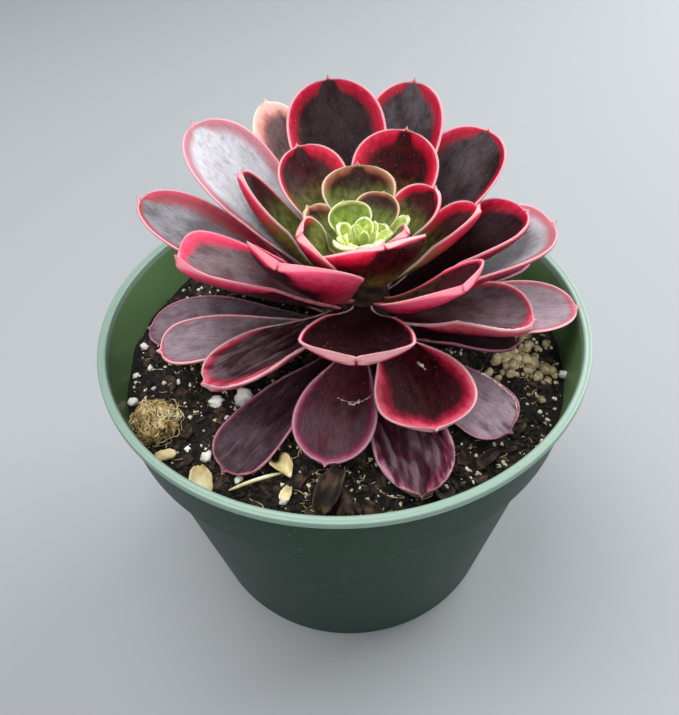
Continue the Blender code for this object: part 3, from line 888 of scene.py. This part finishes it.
def paint_values(mesh, blade, flats, faces_up):
    """What the skin's colours follow: the place on the blade in millimetres, the height of its wrinkles,
    the distance from the margin, the width of the red band there, the share of green, and the share of
    waxy bloom and painted sheen, which is less towards the shaded base and on the under face."""
    leaf, turn = blade.leaf, blade.turn
    along, side, half = flats.T
    x, y = along * leaf.length, side * half
    shares = [*(1.0 - np.linspace(1.0, 0.0, 200) ** 2), *np.linspace(1.0, blade.end, 12)]
    rim = np.array([(share * leaf.length, sign * half_width(leaf, turn, share))
                    for share in shares for sign in (-1, 1)])
    distance = np.sqrt(((x[:, None] - rim[:, 0]) ** 2 + (y[:, None] - rim[:, 1]) ** 2).min(axis=1))
    right, tip, left = leaf.band
    band = right + (left - right) * smooth_steps(0.5 + 0.8 * side)
    near_tip = smooth_steps((along - 0.78) / 0.22) * smooth_steps(1.5 - np.abs(y) / (0.09 * leaf.width))
    band = band + (tip - band) * near_tip
    band = band * (1.0 + (turn.blush - 1.0) * (1.0 - faces_up))
    band = band * smooth_steps((along - turn.bare) / 0.45) * smooth_steps((turn.stop - along) / 0.4)
    green = 1.4 * leaf.green * (1.0 - smooth_steps((along - 0.15 - 0.6 * leaf.green) / 0.35))
    # less bloom and sheen towards the base: painted shade where the leaves above shade it
    shade_at_base = (1.2 - leaf.bloom) * (1.0 - smooth_steps((along - 0.35) / 0.45))
    ridge = np.array([blade.rumple(*spot) for spot in zip(along, side)])
    values = {"ridge": ridge * faces_up, "edge": distance, "band": np.maximum(0.15, band),
              "green": np.clip(green, 0, 1),
              # the under face, facing away from the sky, gets less painted sheen
              "bloom": leaf.bloom ** 2 * (1.0 - shade_at_base) * (0.3 + 0.7 * faces_up)}
    for name, data in values.items():
        layer = mesh.attributes.new(name, "FLOAT", "POINT")
        layer.data.foreach_set("value", data.astype(np.float32))
    layer = mesh.attributes.new("blade", "FLOAT_VECTOR", "POINT")
    spots = np.stack([y, x, np.full_like(x, 23.0 * blade.seed)], axis=1)
    layer.data.foreach_set("vector", spots.astype(np.float32).ravel())


def leaf_skin(name, heart, dark, band, glow, reach, rim, green, bloom, pale, spotted=0.0, roughness=0.45,
              scurf=0.3):
    """Aeonium skin: red pigment fills the heart and the margin, the palest line is the lashed edge, and a
    grey waxy bloom, partly painted sheen, lies on it in patches. Painted shade darkens the furrows of the
    wrinkles and a painted highlight lightens their ridges. Patterns run along the blade. Each layer of
    colour is laid over the one before by how far its source is between two values."""
    material, tree, shader = new_material(name)
    value = {key: add(tree, "ShaderNodeAttribute", attribute_name=key).outputs["Fac"]
             for key in ("edge", "band", "green", "bloom", "ridge")}
    spot = add(tree, "ShaderNodeAttribute", attribute_name="blade").outputs["Vector"]
    texture = {}
    for key, across, along, detail in (("mottle", 0.75, 0.5, 5.0), ("fibres", 3.2, 0.35, 4.0),
                                       ("patches", 0.2, 0.1, 4.0), ("grain", 3.5, 3.0, 3.0)):
        stretched = add(tree, "ShaderNodeMapping", {"Vector": spot, "Scale": (across, along, 1.0)})
        texture[key] = add(tree, "ShaderNodeTexNoise", {
            "Vector": stretched, "Scale": 1.0, "Detail": detail, "Roughness": 0.6})
    feather = add(tree, "ShaderNodeMapRange", {
        "Value": texture["mottle"], "From Min": 0.3, "From Max": 0.7, "To Min": -0.17, "To Max": 0.17})
    inward = add(tree, "ShaderNodeMath", {0: value["edge"], 1: value["band"]}, operation="DIVIDE")
    share = add(tree, "ShaderNodeMath", {0: inward, 1: feather})
    dust = add(tree, "ShaderNodeTexVoronoi", {"Vector": spot, "Scale": 0.8}).outputs["Distance"]
    bruise = add(tree, "ShaderNodeTexVoronoi", {"Vector": spot, "Scale": 0.17}).outputs["Distance"]
    colour = dark
    for source, low, high, start, end, over in (
            (texture["mottle"], 0.35, 0.65, 0.0, 1.0, heart),
            # bloom layers: grey waxy bloom, partly a painted sheen of the sky
            (value["bloom"], 0.0, 1.0, 0.0, 0.65, bloom),
            (texture["patches"], 0.35, 0.62, 0.0, value["bloom"], bloom),
            (texture["fibres"], 0.48, 0.7, 0.0, 0.5, dark),
            (texture["mottle"], 0.5, 0.68, 0.0, 0.35, dark),
            (share, 0.45, 1.45, 1.0, 0.0, band),
            (share, 0.0, reach, 1.0, 0.0, glow),
            (value["green"], 0.0, 1.0, 0.0, 1.0, green[0]),
            (texture["mottle"], 0.3, 0.7, 0.0, value["green"], green[1]),
            (value["bloom"], 0.0, 1.0, 0.0, 0.35, bloom),
            (texture["grain"], 0.5, 0.8, 0.0, 0.07, bloom),
            # painted shade in the furrows of the wrinkles, and a painted highlight on their ridges
            (value["ridge"], -0.2, -0.02, 0.65, 0.0, dark),
            (value["ridge"], 0.05, 0.3, 0.0, 0.3, bloom),
            (bruise, 0.2, 0.34, spotted, 0.0, dark),
            (value["edge"], 0.08, 0.32, pale, 0.0, rim),
            (dust, 0.04, 0.08, 0.4, 0.0, "d8d0d0")):
        amount = add(tree, "ShaderNodeMapRange", {
            "Value": source, "From Min": low, "From Max": high, "To Min": start, "To Max": end},
            interpolation_type="SMOOTHSTEP")
        colour = add(tree, "ShaderNodeMixRGB", {"Fac": amount, "Color1": colour, "Color2": over})
    gloss = add(tree, "ShaderNodeMapRange", {
        "Value": texture["mottle"], "From Min": 0.3, "From Max": 0.7, "To Min": roughness - 0.08,
        "To Max": roughness + 0.1})
    grain = add(tree, "ShaderNodeMath", {0: texture["grain"], 1: texture["fibres"]})
    bump = add(tree, "ShaderNodeBump", {"Height": grain, "Strength": scurf, "Distance": 0.12 * MM})
    wire(tree, shader, {
        "Base Color": colour, "Roughness": gloss, "Normal": bump, "IOR": 1.4, "Specular IOR Level": 0.14,
        "Subsurface Weight": 0.12, "Subsurface Radius": (1.0, 0.25, 0.2), "Subsurface Scale": 0.9 * MM})
    return material


blades = {}


def grow_leaves(tier, turn, leaves, skin, slot, seed, odd_skins={}, odd_turns={}):
    """Make each leaf of a tier and keep its blade for its lashes; the odd ones go by number."""
    for number, leaf in enumerate(leaves, 1):
        blade = Blade(leaf, odd_turns.get(number, turn), seed + number)
        blades[f"{tier}_{number}"] = blade
        finished(f"{tier}_{number}_blade", blade_mesh(blade), odd_skins.get(number, skin), slot,
                 f"{tier}_{number}")


OLD_TURN = Turn(neck=4.0, neck_thick=1.3, thick=1.7, edge=0.45, mucro=1.1,
                wrinkle=0.24, wave=0.9, blush=1.5)
OLD_LEAVES = [
    Leaf(176, 78, 47, -1.5, 0, 18, 35, 0, 0, (0.5, 0.6, 0.5), 0.65, 0, 0.74, 2.6),
    Leaf(28, 78.5, 42, 5, 0, 18, 40, 0, 0, (1.0, 1.0, 1.0), 0.3, 0),
    Leaf(56, 79.5, 44, 5, 0, 20, 40, 0, 0, (1.0, 1.0, 1.0), 0.3, 0),
    Leaf(84, 78.0, 44, 2, 0, 20, 40, 0, 0, (1.0, 1.0, 1.0), 0.3, 0),
    Leaf(112, 79.5, 44, 4, 0, 20, 40, 0, 0, (1.0, 1.0, 1.0), 0.3, 0),
    Leaf(140, 78.0, 45, 4, 0, 19, 40, 0, 0, (1.0, 1.0, 1.0), 0.3, 0),
    Leaf(349, 76.6, 30, 1, 3, 11, 35, 0, 0, (0.6, 0.6, 0.6), 0.2, 0),
    Leaf(314, 75, 36.3, -3, 6, 16, 30, 0, 0, (0.4, 0.5, 0.6), 0.82, 0, 0.76, 3.2),
    Leaf(229, 75.5, 42.5, -5, 5, 14.5, 35, 0, 0, (0.5, 0.5, 0.5), 0.35, 0, 0.8, 2.8),
    Leaf(280, 73.8, 40.5, -2, 5, 17, 30, 0, -16, (1.6, 0.4, 2.6), 0.4, 0),
]
GREEN = ("5a5a30", "7c7a44")
plum = leaf_skin(
    "plum aeonium skin", heart="561426", dark="260a14", band="742442", glow="a65c78", reach=0.9,
    rim="dcb8c0", green=GREEN, bloom="8c7a86", pale=0.35, scurf=0.5)
grow_leaves("old_leaf", OLD_TURN, OLD_LEAVES, leaf_skin(
    "old aeonium skin", heart="3a1722", dark="1e0a10", band="7c2c46", glow="a8607c", reach=0.6,
    rim="d9b4bc", green=GREEN, bloom="a893a0", pale=0.2, spotted=0.3, roughness=0.5, scurf=0.5),
    "old_leaf", 100, odd_skins={10: plum},
    odd_turns={10: OLD_TURN._replace(wrinkle=1.2, wave=2.4, bare=0.45)})


# ---- Lower leaves --------------------------------------------------------------------------
# Large leaves in full growth, spread flat below the rosette: a wine-dark heart with a pink
# and crimson margin, firmer and glossier than the old ones.
LOWER_TURN = Turn(neck=4.0, neck_thick=1.3, thick=1.9, edge=0.5, mucro=1.1,
                  wrinkle=0.12, wave=0.7, blush=1.8)
LOWER_LEAVES = [
    Leaf(70, 84.0, 43, 22, -4, 21, 40, 0, 0, (1.5, 1.2, 1.5), 0.2, 0),
    Leaf(100, 82.0, 43, 20, -4, 21, 40, 0, 0, (1.5, 1.2, 1.5), 0.2, 0),
    Leaf(130, 83.0, 44, 22, -4, 18, 40, 0, 0, (1.5, 1.2, 1.5), 0.2, 0),
    Leaf(42, 82.0, 38, 14, -4, 20, 40, 0, 0, (1.5, 1.2, 1.5), 0.2, 0),
    Leaf(345, 82.0, 32.5, 9, 0, 21, 55, -6, 0, (3.0, 1.6, 1.0), 0.5, 0),
    Leaf(357, 80.0, 43, 5, 0, 18, 25, 0, 0, (1.2, 1.5, 1.2), 0.92, 0),
    Leaf(290, 81.5, 29.5, -5, 5, 22, 30, 0, -20, (3.2, 1.6, 2.4), 0.05, 0, 0.74, 2.6),
    Leaf(255, 79.0, 33.3, -7, 5, 18, 35, 0, 0, (1.3, 1.4, 1.8), 0.4, 0, 0.72, 2.1),
    Leaf(212, 86.1, 35, -3.2, -6, 15.2, 38, 6, 0, (1.6, 2.0, 3.4), 0.45, 0, 0.66, 2.6),
    Leaf(192, 79.5, 42, 3.8, 0, 14.8, 40, 0, 0, (0.5, 0.8, 0.9), 0.75, 0, 0.78, 3.0),
]
grow_leaves("lower_leaf", LOWER_TURN, LOWER_LEAVES, leaf_skin(
    "lower aeonium skin", heart="460a16", dark="1e0308", band="b0183a", glow="ee6680", reach=0.8,
    rim="fadcdc", green=GREEN, bloom="b3a0aa", pale=0.6, spotted=0.15, scurf=0.35), "outer_leaf", 200,
    odd_skins={8: plum}, odd_turns={9: LOWER_TURN._replace(wrinkle=0.5, bare=0.35)})


# ---- Upper leaves --------------------------------------------------------------------------
# The broad leaves that make the rosette's outline: almost black in the heart, crimson to hot pink at the
# margin, with a grey waxy bloom and painted sheen where they face the sky.
UPPER_TURN = Turn(neck=4.0, neck_thick=1.3, thick=1.9, edge=0.5, mucro=1.1,
                  wrinkle=0.1, wave=0.5, blush=1.8)
UPPER_LEAVES = [
    Leaf(146, 88.5, 49, 39, -8, 22.5, 30, 0, 0, (2.8, 1.2, 2.2), 0.9, 0, 0.7, 2.5),
    Leaf(119, 85.5, 49.5, 40, -8, 15, 30, 0, 0, (2.2, 4.0, 3.0), 0.45, 0),
    Leaf(99, 92.5, 45.5, 41, -8, 23.5, 35, 0, 0, (2.6, 0.3, 2.4), 0.15, 0),
    Leaf(70, 90.0, 47, 41, -8, 20, 35, -5, 0, (2.4, 0.4, 2.0), 0.3, 0),
    Leaf(44, 88.5, 44, 32.8, -8, 20.3, 48, 8, 0, (1.2, 0.6, 2.8), 0.25, 0, 0.7, 2.6),
    Leaf(14, 86.3, 36, 28.2, -7, 19.4, 50, -6, 0, (1.2, 1.8, 2.8), 0.1, 0, 0.74, 2.6),
    Leaf(9, 83.5, 41, 25.7, -7, 21, 45, 0, 0, (2.5, 2.0, 2.0), 0.8, 0, 0.74, 3.4),
    Leaf(167, 83.0, 51, 30, -5, 19.5, 30, 0, 0, (4.0, 1.0, 1.2), 0.62, 0),
    Leaf(192, 87.3, 38, 31.5, -5, 20, 52, 4, 0, (2.8, 1.6, 1.6), 0.5, 0, 0.78, 3.2),
    Leaf(158, 80.5, 40, 22, -5, 16, 35, 0, 0, (3.0, 2.0, 2.0), 0.3, 0),
    Leaf(265, 90.0, 27.5, 22, 0, 22, 38, 0, 0, (0.5, 0.25, 0.5), 0.05, 0, 0.88, 5.0),
]
variegated = leaf_skin(
    "variegated aeonium skin", heart="3a141a", dark="1c080c", band="d4847c", glow="f4d0c4", reach=1.0,
    rim="faeedd", green=GREEN, bloom="c8a8ac", pale=0.6)
flushed = leaf_skin(
    "flushed aeonium skin", heart="4a0f1c", dark="240810", band="e62454", glow="f85a80", reach=0.7,
    rim="f4a4ac", green=GREEN, bloom="c0b0b8", pale=0.7)
grow_leaves("upper_leaf", UPPER_TURN, UPPER_LEAVES, leaf_skin(
    "upper aeonium skin", heart="2c0810", dark="120305", band="a80c2c", glow="dc3058", reach=0.5,
    rim="fad2d6", green=GREEN, bloom="d2d2da", pale=0.6, roughness=0.42), "outer_leaf", 300,
    odd_skins={2: variegated, 9: flushed},
    odd_turns={9: UPPER_TURN._replace(bare=0.4), 11: UPPER_TURN._replace(blush=2.0)})


# ---- Inner leaves --------------------------------------------------------------------------
# Upright cupped leaves round the bud. They are still greening out: crimson margins and dark
# tips over an olive to yellow-green lower half.
INNER_TURN = Turn(neck=3.2, neck_thick=1.0, thick=1.4, edge=0.42, mucro=0.9,
                  wrinkle=0.03, wave=0.4, blush=2.2)
INNER_LEAVES = [
    Leaf(121, 95.5, 29, 42, -12, 17, 38, 0, 0, (2.8, 0.4, 1.0), 0.2, 0.5),
    Leaf(63, 94.5, 30.5, 51, -12, 20.5, 35, 0, 0, (2.4, 0.4, 3.0), 0.1, 0.4),
    Leaf(90, 98.5, 19.5, 47, -12, 17, 45, 0, 0, (1.4, 0.4, 1.6), 0.08, 0.62),
    Leaf(26.5, 97, 20, 47, -14, 13.4, 58, 4, 0, (1.2, 0.6, 1.6), 0.15, 0.55, 0.66, 2.4),
    Leaf(153, 93, 33, 42, -32, 14, 58, 24, 0, (0.5, 0.8, 2.2), 0.35, 0.55, 0.5, 2.2),
    Leaf(18, 92, 26, 33, -14, 13, 60, -14, 0, (2.6, 1.6, 2.0), 0.2, 0.4, 0.7, 2.4),
    Leaf(145, 98.6, 13.8, 45, -12, 9.4, 50, 0, 0, (1.2, 0.6, 1.2), 0.2, 0.65, 0.66, 2.4),
    Leaf(214, 97, 18.5, 56, -14, 15.5, 45, -20, 0, (1.2, 1.0, 1.2), 0.08, 0.7, 0.66, 2.6),
    Leaf(286, 98.5, 18.5, 56, -45, 25, 58, 0, 0, (2.4, 0.35, 0.5), 0.08, 0.5, 0.62, 2.6),
    Leaf(229, 91.5, 29, 48, -14, 26.5, 42, 8, 0, (0.6, 0.4, 3.4), 0.08, 0.2, 0.72, 3.0),
    Leaf(330, 99.8, 12, 60, -10, 8.2, 50, 0, 0, (1.5, 1.2, 1.5), 0.1, 0.8),
    Leaf(308, 90.5, 29, 39, -13, 23.5, 36, -3, 0, (2.6, 0.6, 0.7), 0.12, 0.2, 0.72, 2.6),
]
greening = leaf_skin(
    "greening aeonium skin", heart="40201c", dark="281210", band="a2604a", glow="d89c84", reach=0.7,
    rim="f2e2bc", green=("5a6430", "8a9450"), bloom="b8b0a0", pale=0.7, roughness=0.42, scurf=0.2)
grow_leaves("inner_leaf", INNER_TURN, INNER_LEAVES, leaf_skin(
    "inner aeonium skin", heart="4a0a12", dark="220507", band="c01034", glow="ee3c60", reach=0.6,
    rim="fadad6", green=("525a28", "7e8644"), bloom="b0a4aa", pale=0.6, roughness=0.42, scurf=0.25),
    "inner_leaf", 400,
    odd_skins={3: greening, 7: greening, 10: flushed, 12: flushed},
    odd_turns={9: INNER_TURN._replace(blush=1.0), 10: INNER_TURN._replace(bare=-0.3, stop=1.15),
               12: INNER_TURN._replace(bare=-0.3, stop=1.25)})


# ---- Bud leaves ----------------------------------------------------------------------------
# The youngest leaves, packed in the middle: thin, yellow green and a little translucent, with
# a rosy flush only at their tips.
BUD_TURN = Turn(neck=1.8, neck_thick=0.7, thick=0.8, edge=0.3, mucro=0.5,
                wrinkle=0.0, wave=0.2, blush=1.0)
BUD_LEAVES = [
    Leaf(113, 100.8, 10.2, 57, -12, 11.3, 60, 0, 0, (0.7, 0.8, 0.7), 0.25, 0.85, 0.6, 2.6),
    Leaf(78, 101.8, 5.8, 73, -12, 4.6, 60, 0, 0, (0.6, 0.5, 0.6), 0.05, 1.0, 0.6, 2.4),
    Leaf(33, 101, 6, 60, -14, 5.3, 60, 0, 0, (0.6, 0.5, 0.6), 0.05, 1.0, 0.6, 2.4),
    Leaf(152, 101.3, 6.4, 75, -12, 4.8, 60, 0, 0, (0.6, 0.5, 0.6), 0.05, 1.0, 0.6, 2.4),
    Leaf(230, 100.5, 8, 64, -10, 7, 50, 0, 0, (0.6, 0.6, 0.6), 0.05, 0.95),
    Leaf(290, 101.0, 8, 66, -10, 7, 50, 0, 0, (0.6, 0.6, 0.6), 0.05, 0.95),
    Leaf(63, 99.8, 13, 50.5, -12, 11.4, 55, 0, 0, (0.8, 0.9, 0.8), 0.25, 0.6, 0.62, 2.6),
    Leaf(18, 99.5, 11, 52, -12, 4.5, 50, 0, 0, (0.8, 0.9, 0.8), 0.2, 0.85, 0.6, 2.4),
]
half_grown = leaf_skin(
    "half-grown aeonium skin", heart="6c7c34", dark="54602a", band="c8d478", glow="eef0a8", reach=0.9,
    rim="f8f6cc", green=("66802e", "a0b656"), bloom="c9c8b4", pale=0.8, roughness=0.42, scurf=0.2)
grow_leaves("bud_leaf", BUD_TURN, BUD_LEAVES, leaf_skin(
    "bud aeonium skin", heart="9cac54", dark="76873a", band="d8dc84", glow="eef2ae", reach=0.8,
    rim="f8fcd8", green=("9ab446", "d8e884"), bloom="c9c8b4", pale=0.8, roughness=0.42, scurf=0.2),
    "young_leaf", 500, odd_skins={1: half_grown, 7: greening})


# ---- Bud tips ------------------------------------------------------------------------------
# The newest leaf tips, still folded over the growing point: bright yellow green, a few
# millimetres long, each a golden angle on from the last.
GOLDEN_ANGLE = 137.5
TIP_COUNT = 13


def bud_tip(number):
    """The tip with a given number: each is smaller and more upright than the one before."""
    youth = number / (TIP_COUNT - 1)
    return Leaf(GOLDEN_ANGLE * number, 101.0, 6.6 - 2.6 * youth, 62 + 40 * youth, 6, 4.4 - 2.0 * youth,
                62, 0, 0, (0.5, 0.5, 0.5), 0, 0.95, 0.55, 1.9)


newest = leaf_skin(
    "newest aeonium skin", heart="b4c260", dark="9aaa4c", band="e0e48c", glow="eef4a8", reach=0.9,
    rim="f2f6c0", green=("b4cc5c", "e4f094"), bloom="d8dcb0", pale=0.5, roughness=0.42, scurf=0.1)
TIP_TURN = BUD_TURN._replace(neck=1.4, thick=0.7, edge=0.24, mucro=0.4)
for number in range(TIP_COUNT):
    finished(f"bud_tip_{number + 1}", blade_mesh(Blade(bud_tip(number), TIP_TURN, 520 + number)), newest,
             "young_leaf")


# ---- Scars and scabs -----------------------------------------------------------------------
# Healed scratches and dried edges: pale corky callus that the skin grew over its wounds,
# raised a little above the leaf.
Scar = namedtuple("Scar", "leaf start end bow thick")   # start and end: along, side

SCARS = [
    Scar("lower_leaf_8", (0.53, -0.12), (0.5, 0.98), 0.03, 0.11),
    Scar("lower_leaf_8", (0.555, 0.2), (0.53, 0.5), 0.02, 0.16),
    Scar("lower_leaf_7", (0.44, 0.32), (0.52, 0.36), -0.02, 0.22),
    Scar("old_leaf_8", (0.62, 1.0), (0.98, 0.9), 0.0, 0.2),
    Scar("lower_leaf_5", (0.5, -1.0), (0.94, -0.98), 0.0, 0.14),
]


def scars():
    """Each scar as a thin uneven ridge laid on its leaf, thicker here and there."""
    bm = bmesh.new()
    for number, scar in enumerate(SCARS):
        blade = blades[scar.leaf]
        path = []
        for share in np.linspace(0.0, 1.0, 22):
            stray = noise.noise(Vector((19.0 * share, number + 0.3, 0.5)))
            along = scar.start[0] + (scar.end[0] - scar.start[0]) * share
            side = scar.start[1] + (scar.end[1] - scar.start[1]) * share
            along += scar.bow * math.sin(math.pi * share) + 0.008 * stray
            side = max(-1.0, min(1.0, side + 0.03 * stray))
            path.append(blade.at(along, side, 0.3 * scar.thick * stray - blade.rumple(along, side)))
            crumb = scar.thick * (2.4 + 3.0 * stray)
            lump(bm, path[-1], (crumb, 1.3 * crumb, 0.7 * crumb), 7 * number + 9 * share, 0.5, 1)
        strand(bm, path, 0.7 * scar.thick, sides=6, taper=0.8)
    return mesh_of(bm)


finished("leaf_scars", scars(), mineral("corky callus", ("8a6a66", "c8b0aa", "efe2dc"), 0.8, 900.0),
         "outer_leaf")


# ---- Lashes --------------------------------------------------------------------------------
# Fine pale hairs, a fifth to a third of a millimetre long, stand like eyelashes along the
# margins of all but the newest leaves. Each is a slim cone that leans towards the leaf's tip.
LASH_SPACING = 0.5
LASH_STRAY = 0.35       # how far each one strays from the common lean


def margin_wires(names):
    """The margins of some leaves as wires, each point with the way that its lashes lean."""
    corners, edges, leans = [], [], []
    for name in names:
        blade = blades[name]
        shares = np.linspace(0.22, 0.992, 60)
        for side in (-1.0, 1.0):
            first = len(corners)
            for along in shares:
                forward, across, up = heading(blade.leaf, along)
                cup = blade.cup(along) * side
                outward = (across * math.cos(cup) + up * math.sin(cup)) * side
                corners.append(blade.at(along, side, 0.5 * blade.turn.edge, 0.4 * blade.turn.edge) * MM)
                leans.append(outward + 0.45 * forward + 0.2 * up)
            edges += [(first + k, first + k + 1) for k in range(len(shares) - 1)]
    mesh = bpy.data.meshes.new("margins")
    mesh.from_pydata(corners, edges, [])
    layer = mesh.attributes.new("lean", "FLOAT_VECTOR", "POINT")
    layer.data.foreach_set("vector", np.array(leans, dtype=np.float32).ravel())
    return mesh


def lash_tree():
    """A slim cone at equal steps along each wire, with uneven length and lean."""
    tree, given = node_tree("margin_lashes", {"Spacing": "Float", "Length": "Float"})
    wires = add(tree, "GeometryNodeMeshToCurve", {"Mesh": given["Geometry"]})
    steps = add(tree, "GeometryNodeResampleCurve", {"Curve": wires, "Length": given["Spacing"]},
                mode="LENGTH")
    lean = add(tree, "GeometryNodeInputNamedAttribute", {"Name": "lean"}, data_type="FLOAT_VECTOR")
    stray = add(tree, "FunctionNodeRandomValue", {
        0: (-LASH_STRAY,) * 3, 1: (LASH_STRAY,) * 3, "Seed": given["Seed"]}, data_type="FLOAT_VECTOR")
    way = add(tree, "ShaderNodeVectorMath", {0: lean, 1: stray}, operation="ADD")
    turn = add(tree, "FunctionNodeAlignRotationToVector", {"Vector": way}, axis="Z")
    cone = add(tree, "GeometryNodeMeshCone", {
        "Vertices": 4, "Radius Top": 0.006 * MM, "Radius Bottom": 0.045 * MM, "Depth": 1.0 * MM})
    size = add(tree, "FunctionNodeRandomValue", {2: 0.55, 3: 1.3, "Seed": given["Seed"]},
               data_type="FLOAT")
    long = add(tree, "ShaderNodeMath", {0: size.outputs[1], 1: given["Length"]}, operation="MULTIPLY")
    stretch = add(tree, "ShaderNodeCombineXYZ", {"X": 1.0, "Y": 1.0, "Z": long})
    placed = add(tree, "GeometryNodeInstanceOnPoints", {
        "Points": steps, "Instance": cone, "Rotation": turn, "Scale": stretch})
    return realised(tree, placed, given["Material"])


def pale_lash(name, colour):
    """A plant hair: whitish, with a tinge of its leaf."""
    material, tree, shader = new_material(name)
    place = add(tree, "ShaderNodeTexCoord").outputs["Object"]
    hue = add(tree, "ShaderNodeTexNoise", {"Vector": place, "Scale": 300.0})
    tint = add(tree, "ShaderNodeMixRGB", {"Fac": hue, "Color1": colour, "Color2": "fbeeee"})
    wire(tree, shader, {"Base Color": tint, "Roughness": 0.5})
    return material


lashing = lash_tree()
for tier, slot, length in (("old_leaf", "old_leaf", 0.2), ("lower_leaf", "outer_leaf", 0.28),
                           ("upper_leaf", "outer_leaf", 0.3), ("inner_leaf", "inner_leaf", 0.3),
                           ("bud_leaf", "young_leaf", 0.22)):
    names = [name for name in blades if name.startswith(tier)]
    lashes = grown(margin_wires(names), lashing, {
        "Spacing": LASH_SPACING * MM, "Length": length, "Seed": len(names),
        "Material": pale_lash(tier + " hair", "e8b8c0" if tier != "bud_leaf" else "dfe8b0")})
    finished(tier + "_lashes", lashes, None, slot)


# ---- Studio --------------------------------------------------------------------------------
# A plain pale floor, three soft panels of light under a pale sky, and the camera.
FLOOR_SIZE = 3000.0
CAMERA_PLACE = Vector((0.0, -0.121, 0.1892))
CAMERA_LENS = 34.24
CAMERA_PITCH = 45.24
CAMERA_YAW = -0.58
CAMERA_ROLL = -2.66


def floor():
    """A pale matt floor, far wider than the view."""
    bm = bmesh.new()
    bmesh.ops.create_grid(bm, x_segments=1, y_segments=1, size=FLOOR_SIZE / 2)
    mesh = mesh_of(bm)
    material, tree, shader = new_material("pale floor")
    wire(tree, shader, {"Base Color": "a3a7ab", "Roughness": 0.8})
    mesh.materials.append(material)
    shown("floor", mesh)


def panel(name, place, target, size, power):
    """A square soft light that faces a point; metres and watts."""
    light = bpy.data.lights.new(name, "AREA")
    light.size = size
    light.energy = power
    lamp = shown(name, light)
    lamp.location = place
    lamp.rotation_euler = (Vector(target) - Vector(place)).to_track_quat("-Z", "Y").to_euler()


floor()
panel("window panel", (0.6, 0.45, 0.5), (0, 0, 0.08), 0.7, 8.0)
panel("sky panel", (-0.2, 0.08, 0.85), (0, 0, 0.08), 0.6, 6.2)
panel("front panel", (0.1, -0.6, 0.6), (0, 0, 0.06), 0.4, 2.8)
world = bpy.data.worlds.new("soft sky")
world.use_nodes = True
wire(world.node_tree, world.node_tree.nodes["Background"], {"Color": "e4e9ee", "Strength": 0.22})
bpy.context.scene.world = world
bpy.context.scene.view_settings.view_transform = "Standard"

pitch, yaw, roll = (math.radians(angle) for angle in (CAMERA_PITCH, CAMERA_YAW, CAMERA_ROLL))
ahead = Vector((math.sin(yaw) * math.cos(pitch), math.cos(yaw) * math.cos(pitch), -math.sin(pitch)))
right = Vector((math.cos(yaw), -math.sin(yaw), 0.0))
above = right.cross(ahead)
right, above = (math.cos(roll) * right + math.sin(roll) * above,
                math.cos(roll) * above - math.sin(roll) * right)
lens = bpy.data.cameras.new("camera")
lens.lens = CAMERA_LENS
lens.clip_start = 0.01
camera = shown("camera", lens)
facing = Matrix((right, above, -ahead)).transposed().to_4x4()
camera.matrix_world = Matrix.Translation(CAMERA_PLACE) @ facing
bpy.context.scene.camera = camera
